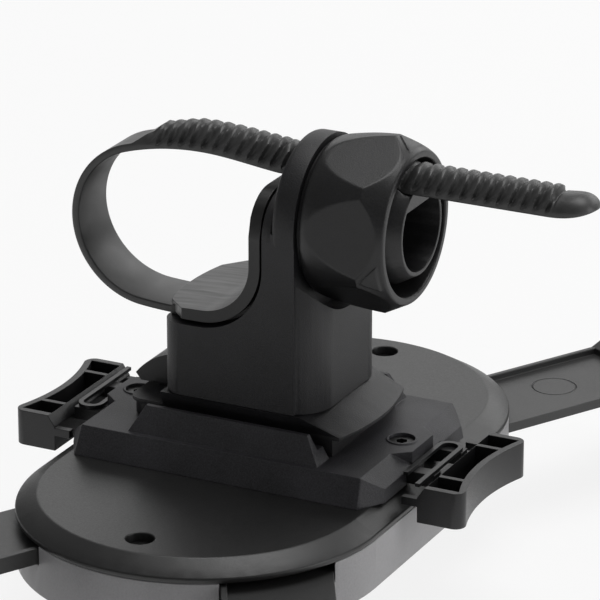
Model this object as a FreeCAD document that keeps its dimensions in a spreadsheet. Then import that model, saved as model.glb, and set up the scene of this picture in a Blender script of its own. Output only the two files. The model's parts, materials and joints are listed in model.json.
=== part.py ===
import FreeCAD, Part
import math
import os
import re
import Sketcher

# Device holder that straps to a round rod or rail.
# Origin: centre of the plane that the four jaws stand on.
# X runs along the dock and the knob's axis, Y along the rod, Z up.

SIZES = {
    # oblong shell of the device cradle
    "bay_height": 11.5,
    "shell_radius": 30.8,
    "shell_straight": 23,
    "tray_height": 8.5,
    "tray_floor": 2,
    "tray_wall": 2,
    "cover_thick": 3,
    "bevel_width": 3.6,
    "bevel_drop": 2.1,
    "pad_thick": 0.8,
    "pad_half_length": 20,
    "pad_half_width": 9,
    "pad_inset": 22.8,
    # clearances, and how far a cut starts outside what it cuts
    "fit_gap": 0.02,
    "running_gap": 0.1,
    "screw_gap": 0.2,
    "loose_gap": 0.3,
    "cut_past": 1,
    # scroll plate that keeps the arms in step
    "hub_radius": 4,
    "scroll_inset": 1.8,
    "scroll_thick": 3,
    "groove_depth": 2.2,
    "scroll_lead": 6,
    "pin_place": 17.5,
    "pin_radius": 1.15,
    "spring_room_radius": 8.8,
    "spring_room_depth": 1.8,
    "spring_strip": 0.4,
    "spring_inset": 0.6,
    "spring_rim_gap": 0.4,
    # spring arms
    "arm_angle": 28.5,
    "arm_width": 18,
    "arm_height": 2.8,
    "arm_floor": 1.7,
    "arm_rim": 1,
    "arm_start": 28,
    "arm_reach": 88,
    "arm_travel": 6,
    "tongue_width": 7,
    "tongue_thick": 1.8,
    "tongue_start": 15,
    "tongue_lap": 2,
    "jaw_thick": 4,
    "crown_reach": 12,
    "crown_run": 4.5,
    "crown_rise": 2,
    "grip_inset": 2,
    "grip_gap": 0.6,
    "lip_reach": 3,
    "lip_thick": 2.2,
    "grip_thick": 2.4,
    # dock plate and its screws
    "dock_inset": 4.9,
    "dock_half_width": 20,
    "dock_height": 4.7,
    "wing_reach": 2.8,
    "wing_half_width": 15.3,
    "ear_half_width": 4.1,
    "ear_flare": 2.4,
    "facet_drop": 2.3,
    "dock_draft": 2.1,
    "dock_end_draft": 0.4,
    "wing_draft": 1.05,
    "rail_height": 4.5,
    "rail_half_length": 17.4,
    "rail_slope": 1.6,
    "rail_end_slope": 2.6,
    "rail_clearance": 0.3,
    "rail_outer": 17,
    "rail_crest_thick": 0.9,
    "rail_step": 2,
    "screw_inset": 1.4,
    "screw_radius": 1.2,
    "screw_head_radius": 2,
    "screw_head_height": 1.3,
    "joint_screw_place": 9.2,
    "joint_screw_height": 16.6,
    "joint_screw_depth": 5,
    "joint_screw_grip": 5,
    "socket_wall": 0.6,
    "socket_depth": 1,
    "socket_rise": 0.2,
    "dock_screw_short": 1,
    "cover_screw_inset": 8.8,
    "cover_head_height": 0.8,
    "cover_screw_length": 5,
    "well_floor": 0.8,
    "boss_radius": 3.2,
    # release buttons
    "tab_gap": 4.7,
    "tab_depth": 8.6,
    "tab_half_width": 13.2,
    "tab_height": 6.2,
    "tab_drop": 3.3,
    "tab_dish": 2.6,
    "tab_wall": 1.3,
    "tab_rib": 1,
    "rib_place": 7.3,
    "tab_corner": 1.8,
    "tab_lip": 1.3,
    "tab_slope": 1.9,
    "tongue_gap": 1.9,
    "tongue_rise": 0.8,
    "tongue_sink": 0.6,
    "tab_floor": 0.8,
    "tab_travel": 1.5,
    "latch_half_width": 6.5,
    "fork_half_gap": 4,
    "fork_root": 14.2,
    "latch_thick": 2.2,
    "tooth_half_width": 4,
    "tooth_end": 9.6,
    "tooth_thick": 1.4,
    "tooth_hook": 1,
    "tooth_slope": 0.4,
    "tooth_height": 1.1,
    "leaf_thick": 0.8,
    "leaf_rise": 0.6,
    "leaf_turn": 6.7,
    "leaf_long": 12,
    "leaf_short": 8.5,
    # shoe of the clamp
    "key_half_length": 17.6,
    "key_half_width": 11.9,
    "ledge_height": 1.1,
    "shoe_half_width": 12.3,
    "shoe_lift": 3.1,
    "shoe_corner": 19,
    "shoe_bulge": 2,
    "skirt_rim": 0.6,
    "skirt_rise": 2.7,
    "toe_reach": 20.3,
    "toe_half_width": 11.6,
    "toe_corner": 2.4,
    "toe_inset": 1.2,
    "toe_clearance": 0.3,
    "cone_bulge": 3,
    "bolt_radius": 2.5,
    "bolt_head_radius": 4.3,
    "bolt_head_height": 3,
    "bolt_stick": 0.8,
    "washer_radius": 4.8,
    "washer_thick": 0.8,
    "nut_radius": 4.4,
    "nut_height": 3.2,
    "nut_headroom": 1.1,
    # housing of the post and saddle
    "post_left": 13.3,
    "post_right": 15.1,
    "post_half_width": 13.2,
    "post_corner": 6.5,
    "saddle_corner": 3.5,
    "seam_place": 7,
    "post_floor": 3,
    "post_block_height": 22.6,
    "shoulder_round": 7,
    "rod_radius": 9,
    "rod_offset": 6.2,
    "rod_height": 35.4,
    "rod_wrap": 20,
    "liner_thick": 2.4,
    "liner_gap": 0.3,
    "liner_end": 12.8,
    "liner_half_width": 11.7,
    "liner_bulge": 2.6,
    "liner_bevel": 2.6,
    "liner_top": 47.4,
    "foot_half_width": 10,
    "foot_inset": 0.5,
    # head, knob and strap
    "axis_height": 41.9,
    "head_face": 11.3,
    "head_radius": 13.4,
    "head_round": 1.2,
    "spigot_radius": 12.2,
    "spigot_length": 1.8,
    "ring_inner": 11.6,
    "ring_outer": 12.7,
    "ring_thick": 0.6,
    "ring_place": 0.65,
    "core_radius": 9.5,
    "core_hole": 7.1,
    "core_flat": 4.3,
    "core_length": 14.6,
    "core_nose": 3.2,
    "core_nose_radius": 7.7,
    "core_web": 1,
    "core_stub": 2.5,
    "core_stub_radius": 5,
    "knob_length": 15.4,
    "knob_waist": 11.2,
    "knob_corner_radius": 14.75,
    "knob_flat_radius": 13.2,
    "knob_flat_lean": -5.5,
    "knob_back_radius": 13.4,
    "knob_gap": 0.4,
    "knob_front_radius": 12.6,
    "knob_bore": 11.4,
    "knob_turned": 7,
    "dome_radius": 60,
    "strap_radius": 4.2,
    "strap_floor": 7,
    "strap_gap": 0.2,
    "strap_room": 5.3,
    "rib_depth": 0.5,
    "rib_pitch": 2.12,
    "rib_width": 1.1,
    "rib_slant": 19,
    "rib_start": 1,
    "strap_left": 19,
    "ribs_right": 52.2,
    "strap_tip": 58.5,
    "tip_nose": 0.3,
    "tip_low": 1.05,
    "tip_taper": 2,
    "tip_middle": 2.1,
    "tip_shoulder": 4,
    "tip_high": 3.33,
    "band_thick": 1.3,
    "band_half_width": 4.1,
    "band_foot_half_width": 5.6,
    "band_loop_radius": 13.6,
    "band_lead": 0.8,
    "band_side_gap": 0.5,
    "band_slot_reach": 4.2,
    "band_slot_drop": 3.2,
    "anchor_place": 7.6,
    "anchor_height": 19.9,
    "anchor_radius": 1.5,
    "anchor_half_length": 8.5,
    "pin_inset": 0.3,
    "eye_gap": 0.4,
    # index lever
    "lever_pivot": 10.8,
    "lever_height": 13.2,
    "lever_half_width": 5,
    "lever_nose": 1.9,
    "lever_foot_gap": 0.7,
    "lever_heel": 0.6,
    "lever_toe_gap": 0.4,
    "lever_hump": 1.4,
    "lever_bow": 12,
    "lever_tip_thick": 1.2,
    "lever_tip_slope": 1,
    "lever_room_rise": 3.6,
    "lever_room_reach": 2.5,
    "lever_reach": 22.3,
    "lever_pin_radius": 1,
    "lever_pin_half_length": 8,
}

# Places that follow from the sizes, written with the same names.
NAMED = {
    "tray_top": "bay_height + tray_height",
    "cover_top": "tray_top + cover_thick",
    "scroll_radius": "shell_radius - tray_wall - scroll_inset",
    "plate_base": "bay_height + tray_floor + running_gap",
    "plate_top": "plate_base + scroll_thick",
    "arm_base": "plate_top + 2 * running_gap",
    "deck": "cover_top + dock_height",
    "pad_place": "shell_radius + shell_straight - pad_inset",
    "cover_screw_place": "shell_radius + shell_straight - cover_screw_inset",
    "dock_half_length": "shell_radius - dock_inset",
    "dock_end": "dock_half_length + wing_reach",
    "screw_place": "dock_half_length - screw_inset",
    "rail_inner": "shoe_half_width + rail_clearance",
    "rail_top": "deck + rail_height",
    "tab_inner": "dock_end + tab_gap",
    "tab_outer": "tab_inner + tab_depth",
    "tab_base": "cover_top - tab_drop",
    "latch_base": "cover_top + running_gap",
    "latch_top": "latch_base + latch_thick",
    "hook_base": "deck + ledge_height + 2 * running_gap",
    "hook_top": "hook_base + tooth_height",
    "shoe_base": "deck + shoe_lift",
    "shoe_top": "shoe_base + skirt_rim + skirt_rise",
    "post_base": "shoe_top + running_gap",
    "rod_level": "cover_top + rod_height",
    "axis_level": "cover_top + axis_height",
    "liner_inner": "rod_radius - rod_offset",
    "liner_outer": "liner_inner + liner_thick",
    "saddle_inner": "liner_outer + liner_gap",
    "anchor_level": "cover_top + anchor_height",
    "lever_level": "cover_top + lever_height",
    "nut_base": "post_base + post_floor + washer_thick",
    "joint_level": "cover_top + joint_screw_height",
}

os.makedirs("parts", exist_ok=True)
doc = FreeCAD.newDocument("device_holder")
sheet = doc.addObject("Spreadsheet::Sheet", "Sizes")
for row, (alias, number) in enumerate(SIZES.items(), start=1):
    sheet.set(f"A{row}", alias)
    sheet.set(f"B{row}", str(number))
    sheet.setAlias(f"B{row}", alias)
doc.recompute()

NODES = []


def ex(text):
    """An expression in cell names, with the named places written out."""
    text = str(text)
    while any(re.search(rf"\b{name}\b", text) for name in NAMED):
        for name, meaning in NAMED.items():
            text = re.sub(rf"\b{name}\b", f"({meaning})", text)
    return re.sub(r"\b([a-z]+(?:_[a-z]+)+)\b", lambda m: "Sizes." + m.group(1), text)


def val(text):
    return float(sheet.evalExpression(ex(text)))


def node(item, label):
    item.Label = label
    NODES.append(item)
    return item


def body(label):
    return node(doc.addObject("PartDesign::Body", "body_" + label), label)


def origin_part(owner, role):
    return next(o for o in owner.Origin.OriginFeatures if o.Role == role)


def sketch(owner, name, role, lift="0", rise="0"):
    """A sketch on one of the body's planes, lifted off it, its own origin raised along its Y."""
    item = owner.newObject("Sketcher::SketchObject", name)
    item.AttachmentSupport = [(origin_part(owner, role), "")]
    item.MapMode = "FlatFace"
    item.setExpression("AttachmentOffset.Base.z", ex(lift))
    item.setExpression("AttachmentOffset.Base.y", ex(rise))
    return item


def place(item, geo, point, across, up):
    """Ties one point of a sketch to two expressions."""
    for kind, text in (("DistanceX", across), ("DistanceY", up)):
        index = item.addConstraint(Sketcher.Constraint(kind, -1, 1, geo, point, val(text)))
        item.setExpression(f"Constraints[{index}]", ex(text))


def outline(owner, name, role, points, lift="0", rise="0"):
    """A closed outline. A point is (x, y) or (x, y, radius, side): the edge that leaves it is then
    an arc, which turns left for side 1 and right for side -1; a third field 2 or -2 takes the long way."""
    item = sketch(owner, name, role, lift, rise)
    spots = [(val(p[0]), val(p[1])) for p in points]
    ends = []
    for number, point in enumerate(points):
        a = FreeCAD.Vector(*spots[number], 0)
        b = FreeCAD.Vector(*spots[(number + 1) % len(points)], 0)
        if len(point) == 2:
            item.addGeometry(Part.LineSegment(a, b))
            ends.append((1, 2))
            continue
        radius = val(point[2])
        left = 1 if point[3] > 0 else -1
        short = 1 if abs(point[3]) == 1 else -1
        chord = b - a
        normal = FreeCAD.Vector(-chord.y, chord.x, 0).normalize()
        depth = math.sqrt(max(radius**2 - (chord.Length / 2) ** 2, 0))
        centre = (a + b) * 0.5 + normal * (depth * left * short)
        start, end = (a, b) if left > 0 else (b, a)
        circle = Part.Circle(centre, FreeCAD.Vector(0, 0, 1), radius)
        from_angle = math.atan2(start.y - centre.y, start.x - centre.x)
        to_angle = math.atan2(end.y - centre.y, end.x - centre.x)
        if to_angle <= from_angle:
            to_angle += 2 * math.pi
        item.addGeometry(Part.ArcOfCircle(circle, from_angle, to_angle))
        ends.append((1, 2) if left > 0 else (2, 1))
    count = len(points)
    for number in range(count):
        following = (number + 1) % count
        item.addConstraint(
            Sketcher.Constraint("Coincident", number, ends[number][1], following, ends[following][0])
        )
    for number, point in enumerate(points):
        place(item, number, ends[number][0], point[0], point[1])
        if len(point) > 2:
            a, b = spots[number], spots[(number + 1) % count]
            if near(math.dist(a, b), 2 * val(point[2])):
                kind = "Horizontal" if near(a[1], b[1]) else "Vertical"
                item.addConstraint(Sketcher.Constraint(kind, number, 1, number, 3))
                continue
            index = item.addConstraint(Sketcher.Constraint("Radius", number, val(point[2])))
            item.setExpression(f"Constraints[{index}]", ex(point[2]))
    return item


def circles(owner, name, role, rounds, lift="0", rise="0"):
    """Circles given as (x, y, radius)."""
    item = sketch(owner, name, role, lift, rise)
    for number, (across, up, radius) in enumerate(rounds):
        centre = FreeCAD.Vector(val(across), val(up), 0)
        item.addGeometry(Part.Circle(centre, FreeCAD.Vector(0, 0, 1), val(radius)))
        place(item, number, 3, across, up)
        index = item.addConstraint(Sketcher.Constraint("Radius", number, val(radius)))
        item.setExpression(f"Constraints[{index}]", ex(radius))
    return item


def oblong(owner, name, radius, half_straight, lift):
    """The stadium outline of the shell, its straight sides along Y."""
    item = sketch(owner, name, "XY_Plane", lift)
    r, half = val(radius), val(half_straight)
    up = FreeCAD.Vector(0, 0, 1)
    item.addGeometry(Part.ArcOfCircle(Part.Circle(FreeCAD.Vector(0, half, 0), up, r), 0, math.pi))
    item.addGeometry(Part.LineSegment(FreeCAD.Vector(-r, half, 0), FreeCAD.Vector(-r, -half, 0)))
    item.addGeometry(
        Part.ArcOfCircle(Part.Circle(FreeCAD.Vector(0, -half, 0), up, r), math.pi, 2 * math.pi)
    )
    item.addGeometry(Part.LineSegment(FreeCAD.Vector(r, -half, 0), FreeCAD.Vector(r, half, 0)))
    for number in range(4):
        item.addConstraint(Sketcher.Constraint("Coincident", number, 2, (number + 1) % 4, 1))
    place(item, 0, 3, "0", half_straight)
    place(item, 2, 3, "0", f"-({half_straight})")
    for number in (0, 2):
        index = item.addConstraint(Sketcher.Constraint("Radius", number, r))
        item.setExpression(f"Constraints[{index}]", ex(radius))
        item.addConstraint(Sketcher.Constraint("Horizontal", number, 1, number, 3))
        item.addConstraint(Sketcher.Constraint("Horizontal", number, 2, number, 3))
    return item


def rectangle(owner, name, role, left, right, low, high, lift="0", rise="0"):
    corners = [(left, low), (right, low), (right, high), (left, high)]
    return outline(owner, name, role, corners, lift, rise)


def feature(owner, kind, name, profile):
    item = owner.newObject("PartDesign::" + kind, name)
    item.Profile = profile
    profile.Visibility = False
    return item


def pad(owner, name, profile, length, both=False, back=False):
    item = feature(owner, "Pad", name, profile)
    item.setExpression("Length", ex(length))
    item.Midplane = both
    item.Reversed = back
    return item


def pocket(owner, name, profile, length, both=False, back=False):
    """Cuts against the sketch's normal, or along it with back."""
    before = owner_volume(owner)
    item = feature(owner, "Pocket", name, profile)
    item.setExpression("Length", ex(length))
    item.Midplane = both
    item.Reversed = back
    if owner_volume(owner) >= before - 1e-6:
        raise ValueError(f"{name} cuts nothing")
    return item


def owner_volume(owner):
    doc.recompute()
    return owner.Shape.Volume


def loft(owner, name, lower, upper):
    item = feature(owner, "AdditiveLoft", name, lower)
    item.Sections = [upper]
    item.Ruled = True
    upper.Visibility = False
    return item


def revolve(owner, name, profile, axis, angle=360, both=False):
    item = feature(owner, "Revolution", name, profile)
    item.ReferenceAxis = (profile, [axis])
    item.Angle = angle
    item.Midplane = both
    return item


def round_edges(owner, name, radius, test, kind="Fillet"):
    """Rounds or bevels the edges of the body's present shape that pass the test."""
    doc.recompute()
    base = owner.Tip
    names = [f"Edge{n}" for n, edge in enumerate(base.Shape.Edges, start=1) if test(edge)]
    if not names:
        raise ValueError(f"{name} finds no edge")
    item = owner.newObject("PartDesign::" + kind, name)
    item.Base = (base, names)
    item.setExpression("Radius" if kind == "Fillet" else "Size", ex(radius))
    return item


def near(a, b):
    return abs(a - b) < 0.01


def upright(edge, across=None):
    """A straight vertical edge, at the given X if one is given."""
    ends = edge.Vertexes
    if len(ends) != 2:
        return False
    a, b = ends[0].Point, ends[1].Point
    if not (near(a.x, b.x) and near(a.y, b.y)):
        return False
    return across is None or near(a.x, across)


def along_x(edge, level, side):
    """A straight edge along X at a height and a distance from the XZ plane."""
    ends = edge.Vertexes
    if len(ends) != 2:
        return False
    a, b = ends[0].Point, ends[1].Point
    return near(a.y, b.y) and near(a.z, b.z) and near(a.z, level) and near(abs(a.y), side)


def cylinder(label, radius, height, base, direction):
    """A plain pin: its radius, height, the centre of its lower end, and the way it points."""
    item = doc.addObject("Part::Cylinder", "pin_" + label)
    item.setExpression("Radius", ex(radius))
    item.setExpression("Height", ex(height))
    turn = FreeCAD.Rotation(FreeCAD.Vector(0, 0, 1), FreeCAD.Vector(*direction))
    item.Placement = FreeCAD.Placement(FreeCAD.Vector(), turn)
    for letter, text in zip("xyz", base):
        item.setExpression(f".Placement.Base.{letter}", ex(text))
    return item


def block(label, low, size):
    """A plain box from its low corner and its three sizes."""
    item = doc.addObject("Part::Box", "block_" + label)
    for name, text in zip(("Length", "Width", "Height"), size):
        item.setExpression(name, ex(text))
    for letter, text in zip("xyz", low):
        item.setExpression(f".Placement.Base.{letter}", ex(text))
    return item


def ring(label, outer, inner, thick, base, direction):
    item = doc.addObject("Part::Cut", "ring_" + label)
    item.Base = cylinder(label + "_outer", outer, thick, base, direction)
    item.Tool = cylinder(label + "_inner", inner, thick, base, direction)
    return node(item, label)


def screw(label, head_radius, head_height, shank_radius, shank_length, base, direction=(0, 0, 1)):
    """A screw with a socket in its head; base is the underside of the head, the head's way given."""
    item = body(label)
    profile = outline(
        item,
        "profile_" + label,
        "XZ_Plane",
        [
            ("0", f"-({shank_length})"),
            (shank_radius, f"-({shank_length})"),
            (shank_radius, "0"),
            (head_radius, "0"),
            (head_radius, head_height),
            ("0", head_height),
        ],
    )
    revolve(item, "turned_" + label, profile, "V_Axis")
    flat = f"0.5 * ({head_radius})"
    corners = [(f"{flat} * cos({60 * n})", f"{flat} * sin({60 * n})") for n in range(6)]
    hexagon = outline(item, "socket_" + label, "XY_Plane", corners, lift=head_height)
    pocket(item, "socket_cut_" + label, hexagon, f"0.6 * ({head_height})")
    item.Placement = FreeCAD.Placement(
        FreeCAD.Vector(), FreeCAD.Rotation(FreeCAD.Vector(0, 0, 1), FreeCAD.Vector(*direction))
    )
    for letter, text in zip("xyz", base):
        item.setExpression(f".Placement.Base.{letter}", ex(text))
    return item


# ---- shell of the cradle -------------------------------------------------------------------------


def make_tray():
    """Open shell that holds the scroll plate, with four slots for the arms."""
    tray = body("tray")
    outer = oblong(tray, "tray_outer", "shell_radius", "shell_straight", "bay_height")
    pad(tray, "tray_block", outer, "tray_height")
    inner = oblong(tray, "tray_inner", "shell_radius - tray_wall", "shell_straight", "tray_top")
    pocket(tray, "tray_hollow", inner, "tray_height - tray_floor")
    hub = circles(tray, "hub_round", "XY_Plane", [("0", "0", "hub_radius")], "bay_height")
    pad(tray, "hub", hub, "plate_top + running_gap - bay_height")
    spots = [("0", sign + "cover_screw_place", "boss_radius") for sign in ("", "-")]
    boss = circles(tray, "screw_bosses", "XY_Plane", spots, "bay_height")
    pad(tray, "bosses", boss, "tray_height")
    spots = [("0", sign + "cover_screw_place", "screw_radius") for sign in ("", "-")]
    pilot = circles(tray, "pilot_rounds", "XY_Plane", spots, "tray_top")
    pocket(tray, "pilots", pilot, "tray_height - tray_floor")
    half = "arm_width / 2 + 2 * running_gap"
    reach = "shell_radius + shell_straight"
    for number, side in enumerate((1, -1)):
        strip = rectangle(
            tray, f"arm_way_{number}", "XY_Plane", f"-({half})", half, f"-({reach})", reach, "tray_top"
        )
        strip.AttachmentOffset = FreeCAD.Placement(
            FreeCAD.Vector(), FreeCAD.Rotation(FreeCAD.Vector(0, 0, 1), side * val("arm_angle"))
        )
        strip.setExpression("AttachmentOffset.Base.z", ex("tray_top"))
        strip.setExpression(".AttachmentOffset.Rotation.Angle", ex(f"{side} * arm_angle"))
        pocket(tray, f"arm_slots_{number}", strip, "tray_top - arm_base + running_gap")
    return tray


def make_cover():
    """Top of the shell with a wide bevel, two screw wells and the bosses for the dock screws."""
    cover = body("cover")
    edge = oblong(cover, "cover_edge", "shell_radius", "shell_straight", "tray_top")
    pad(cover, "cover_rim", edge, "cover_thick - bevel_drop")
    low = oblong(cover, "bevel_low", "shell_radius", "shell_straight", "cover_top - bevel_drop")
    high = oblong(cover, "bevel_high", "shell_radius - bevel_width", "shell_straight", "cover_top")
    loft(cover, "bevel", low, high)
    spots = [(sign + "screw_place", "0", "boss_radius") for sign in ("", "-")]
    boss = circles(cover, "dock_bosses", "XY_Plane", spots, "plate_top + 3 * running_gap")
    pad(cover, "dock_boss_pads", boss, "tray_top - plate_top - 3 * running_gap")
    spots = [("0", sign + "cover_screw_place", "screw_head_radius + loose_gap") for sign in ("", "-")]
    well = circles(cover, "well_rounds", "XY_Plane", spots, "cover_top")
    pocket(cover, "wells", well, "cover_thick - well_floor")
    spots = [("0", sign + "cover_screw_place", "screw_radius + running_gap") for sign in ("", "-")]
    spots += [(sign + "screw_place", "0", "screw_radius + running_gap") for sign in ("", "-")]
    hole = circles(cover, "hole_rounds", "XY_Plane", spots, "cover_top")
    pocket(cover, "holes", hole, "cover_top - plate_top")
    return cover


def make_cover_screws():
    for end, sign in (("front", "-"), ("rear", "")):
        screw(
            "cover_screw_" + end,
            "screw_head_radius",
            "cover_head_height",
            "screw_radius",
            "cover_screw_length",
            ("0", sign + "cover_screw_place", "tray_top + well_floor"),
        )


def make_device_pads():
    for end, sign in (("front", -1), ("rear", 1)):
        low = f"{sign} * pad_place - pad_half_width"
        item = block(
            "device_pad_" + end,
            ("-pad_half_length", low, "bay_height - pad_thick"),
            ("2 * pad_half_length", "2 * pad_half_width", "pad_thick"),
        )
        rounded = doc.addObject("Part::Fillet", "rounded_pad_" + end)
        doc.recompute()
        rounded.Base = item
        radius = val("pad_half_width") / 2
        rounded.Edges = [
            (n, radius, radius) for n, edge in enumerate(item.Shape.Edges, start=1) if upright(edge)
        ]
        node(rounded, "device_pad_" + end)


# ---- scroll plate and arms -----------------------------------------------------------------------


def arm_directions():
    """Names and angles from +X of the four arms."""
    lean = val("arm_angle")
    return {
        "rear_right": 90 - lean,
        "rear_left": 90 + lean,
        "front_left": 270 - lean,
        "front_right": 270 + lean,
    }


def spiral_points(radius_at_zero, lead, start, end, sideways, steps=24):
    """Points on an Archimedean spiral, moved sideways off it."""
    points = []
    for step in range(steps + 1):
        angle = start + (end - start) * step / steps
        radius = radius_at_zero + lead * angle
        tangent = FreeCAD.Vector(
            lead * math.cos(angle) - radius * math.sin(angle),
            lead * math.sin(angle) + radius * math.cos(angle),
            0,
        ).normalize()
        normal = FreeCAD.Vector(-tangent.y, tangent.x, 0)
        on_line = FreeCAD.Vector(radius * math.cos(angle), radius * math.sin(angle), 0)
        points.append(on_line + normal * sideways)
    return points


def spiral_slot(radius_at_zero, lead, start, end, half_width, low, depth):
    """A solid that fills a groove of even width along a spiral, with round ends."""
    sides = []
    for sideways in (half_width, -half_width):
        curve = Part.BSplineCurve()
        curve.interpolate(spiral_points(radius_at_zero, lead, start, end, sideways))
        sides.append(curve)
    caps = []
    for angle, way in ((start, -1), (end, 1)):
        here = spiral_points(radius_at_zero, lead, angle, angle + 1e-6, 0, 1)
        tangent = (here[1] - here[0]).normalize() * way
        a = spiral_points(radius_at_zero, lead, angle, angle, half_width, 1)[0]
        b = spiral_points(radius_at_zero, lead, angle, angle, -half_width, 1)[0]
        caps.append(Part.Arc(a, here[0] + tangent * half_width, b).toShape())
    edges = [sides[0].toShape(), caps[1], sides[1].toShape(), caps[0]]
    face = Part.Face(Part.Wire(Part.__sortEdges__(edges)))
    face.translate(FreeCAD.Vector(0, 0, low))
    return face.extrude(FreeCAD.Vector(0, 0, depth))


def make_scroll_plate():
    """Disc with four spiral grooves: a turn of one radian moves every arm by scroll_lead."""
    plate = Part.makeCylinder(
        val("scroll_radius"), val("scroll_thick"), FreeCAD.Vector(0, 0, val("plate_base"))
    )
    bore = Part.makeCylinder(
        val("hub_radius + running_gap / 2"), val("scroll_thick"), FreeCAD.Vector(0, 0, val("plate_base"))
    )
    room = Part.makeCylinder(
        val("spring_room_radius"), val("spring_room_depth"), FreeCAD.Vector(0, 0, val("plate_base"))
    )
    plate = plate.cut(bore).cut(room)
    half_turn = val("arm_travel / scroll_lead") + 0.12
    for degrees in arm_directions().values():
        groove = spiral_slot(
            val("pin_place"),
            -val("scroll_lead"),
            -half_turn,
            half_turn,
            val("pin_radius + running_gap"),
            val("plate_top - groove_depth"),
            val("groove_depth"),
        )
        groove.rotate(FreeCAD.Vector(), FreeCAD.Vector(0, 0, 1), degrees)
        plate = plate.cut(groove)
    item = doc.addObject("Part::Feature", "scroll_plate")
    item.Shape = plate
    node(item, "scroll_plate")


def make_scroll_spring():
    """Flat spiral spring in the room under the scroll plate."""
    inner = val("hub_radius + spring_inset")
    outer = val("spring_room_radius - spring_rim_gap")
    turns = 2.25
    lead = (outer - inner) / (turns * 2 * math.pi)
    strip = spiral_slot(
        inner,
        lead,
        0,
        turns * 2 * math.pi,
        val("spring_strip / 2"),
        val("plate_base"),
        val("spring_room_depth - 3 * running_gap"),
    )
    item = doc.addObject("Part::Feature", "scroll_spring")
    item.Shape = strip
    node(item, "scroll_spring")


def turn_about_z(item, degrees):
    item.Placement = FreeCAD.Placement(
        item.Placement.Base, FreeCAD.Rotation(FreeCAD.Vector(0, 0, 1), degrees)
    )


def make_arm(name, degrees):
    """One arm, drawn along X: shelf with a rim on one side, tongue with its follower pin, jaw with a lip."""
    rim_below = name in ("rear_left", "front_right")
    arm = body("arm_" + name)
    low, high = "-arm_width / 2", "arm_width / 2"
    bar = rectangle(arm, "bar_" + name, "XY_Plane", "arm_start", "arm_reach", low, high, "arm_base")
    pad(arm, "bar_pad_" + name, bar, "arm_height")
    half = "tongue_width / 2"
    tongue = rectangle(
        arm, "tongue_" + name, "XY_Plane", "tongue_start", "arm_start + tongue_lap", f"-({half})", half,
        "arm_base",
    )
    pad(arm, "tongue_pad_" + name, tongue, "tongue_thick")
    jaw = outline(
        arm,
        "jaw_" + name,
        "XZ_Plane",
        [
            ("arm_reach - jaw_thick", "arm_base"),
            ("arm_reach - jaw_thick", "lip_thick"),
            ("arm_reach - jaw_thick - lip_reach", "lip_thick"),
            ("arm_reach - jaw_thick - lip_reach", "0"),
            ("arm_reach", "0"),
            ("arm_reach", "arm_base + arm_height"),
            ("arm_reach - crown_run", "arm_base + arm_height + crown_rise"),
            ("arm_reach - crown_reach + crown_run", "arm_base + arm_height + crown_rise"),
            ("arm_reach - crown_reach", "arm_base + arm_height"),
            ("arm_reach - crown_reach", "arm_base"),
        ],
    )
    pad(arm, "jaw_pad_" + name, jaw, "arm_width", both=True)
    trough = rectangle(
        arm,
        "trough_" + name,
        "XY_Plane",
        "arm_start + arm_rim",
        "arm_reach - crown_reach",
        "arm_rim - arm_width / 2" if rim_below else "-arm_width",
        "arm_width" if rim_below else "arm_width / 2 - arm_rim",
        "arm_base + arm_height",
    )
    pocket(arm, "trough_cut_" + name, trough, "arm_height - arm_floor")
    spots = [("pin_place", "0", "pin_radius + 0.02")]
    seat = circles(arm, "pin_seat_" + name, "XY_Plane", spots, "arm_base + tongue_thick")
    pocket(arm, "pin_seat_cut_" + name, seat, "tongue_thick")
    turn_about_z(arm, degrees)
    here = math.radians(degrees)
    pin = cylinder(
        "follower_pin_" + name,
        "pin_radius",
        "arm_base + tongue_thick - plate_top + groove_depth - 2 * running_gap",
        ("0", "0", "plate_top - groove_depth + 2 * running_gap"),
        (0, 0, 1),
    )
    pin.setExpression(".Placement.Base.x", ex(f"pin_place * cos({degrees})"))
    pin.setExpression(".Placement.Base.y", ex(f"pin_place * sin({degrees})"))
    node(pin, "follower_pin_" + name)
    grip = block(
        "arm_grip_" + name,
        ("0", "0", "0"),
        ("grip_thick", "arm_width - 2 * grip_inset", "arm_base - lip_thick - 2 * grip_gap"),
    )
    turn_about_z(grip, degrees)
    inward = "(arm_reach - jaw_thick - grip_thick)"
    aside = "(grip_inset - arm_width / 2)"
    c, s_ = math.cos(here), math.sin(here)
    grip.setExpression(".Placement.Base.x", ex(f"{inward} * {c} - {aside} * {s_}"))
    grip.setExpression(".Placement.Base.y", ex(f"{inward} * {s_} + {aside} * {c}"))
    grip.setExpression(".Placement.Base.z", ex("lip_thick + grip_gap"))
    node(grip, "arm_grip_" + name)


# ---- dock and release buttons --------------------------------------------------------------------


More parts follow.
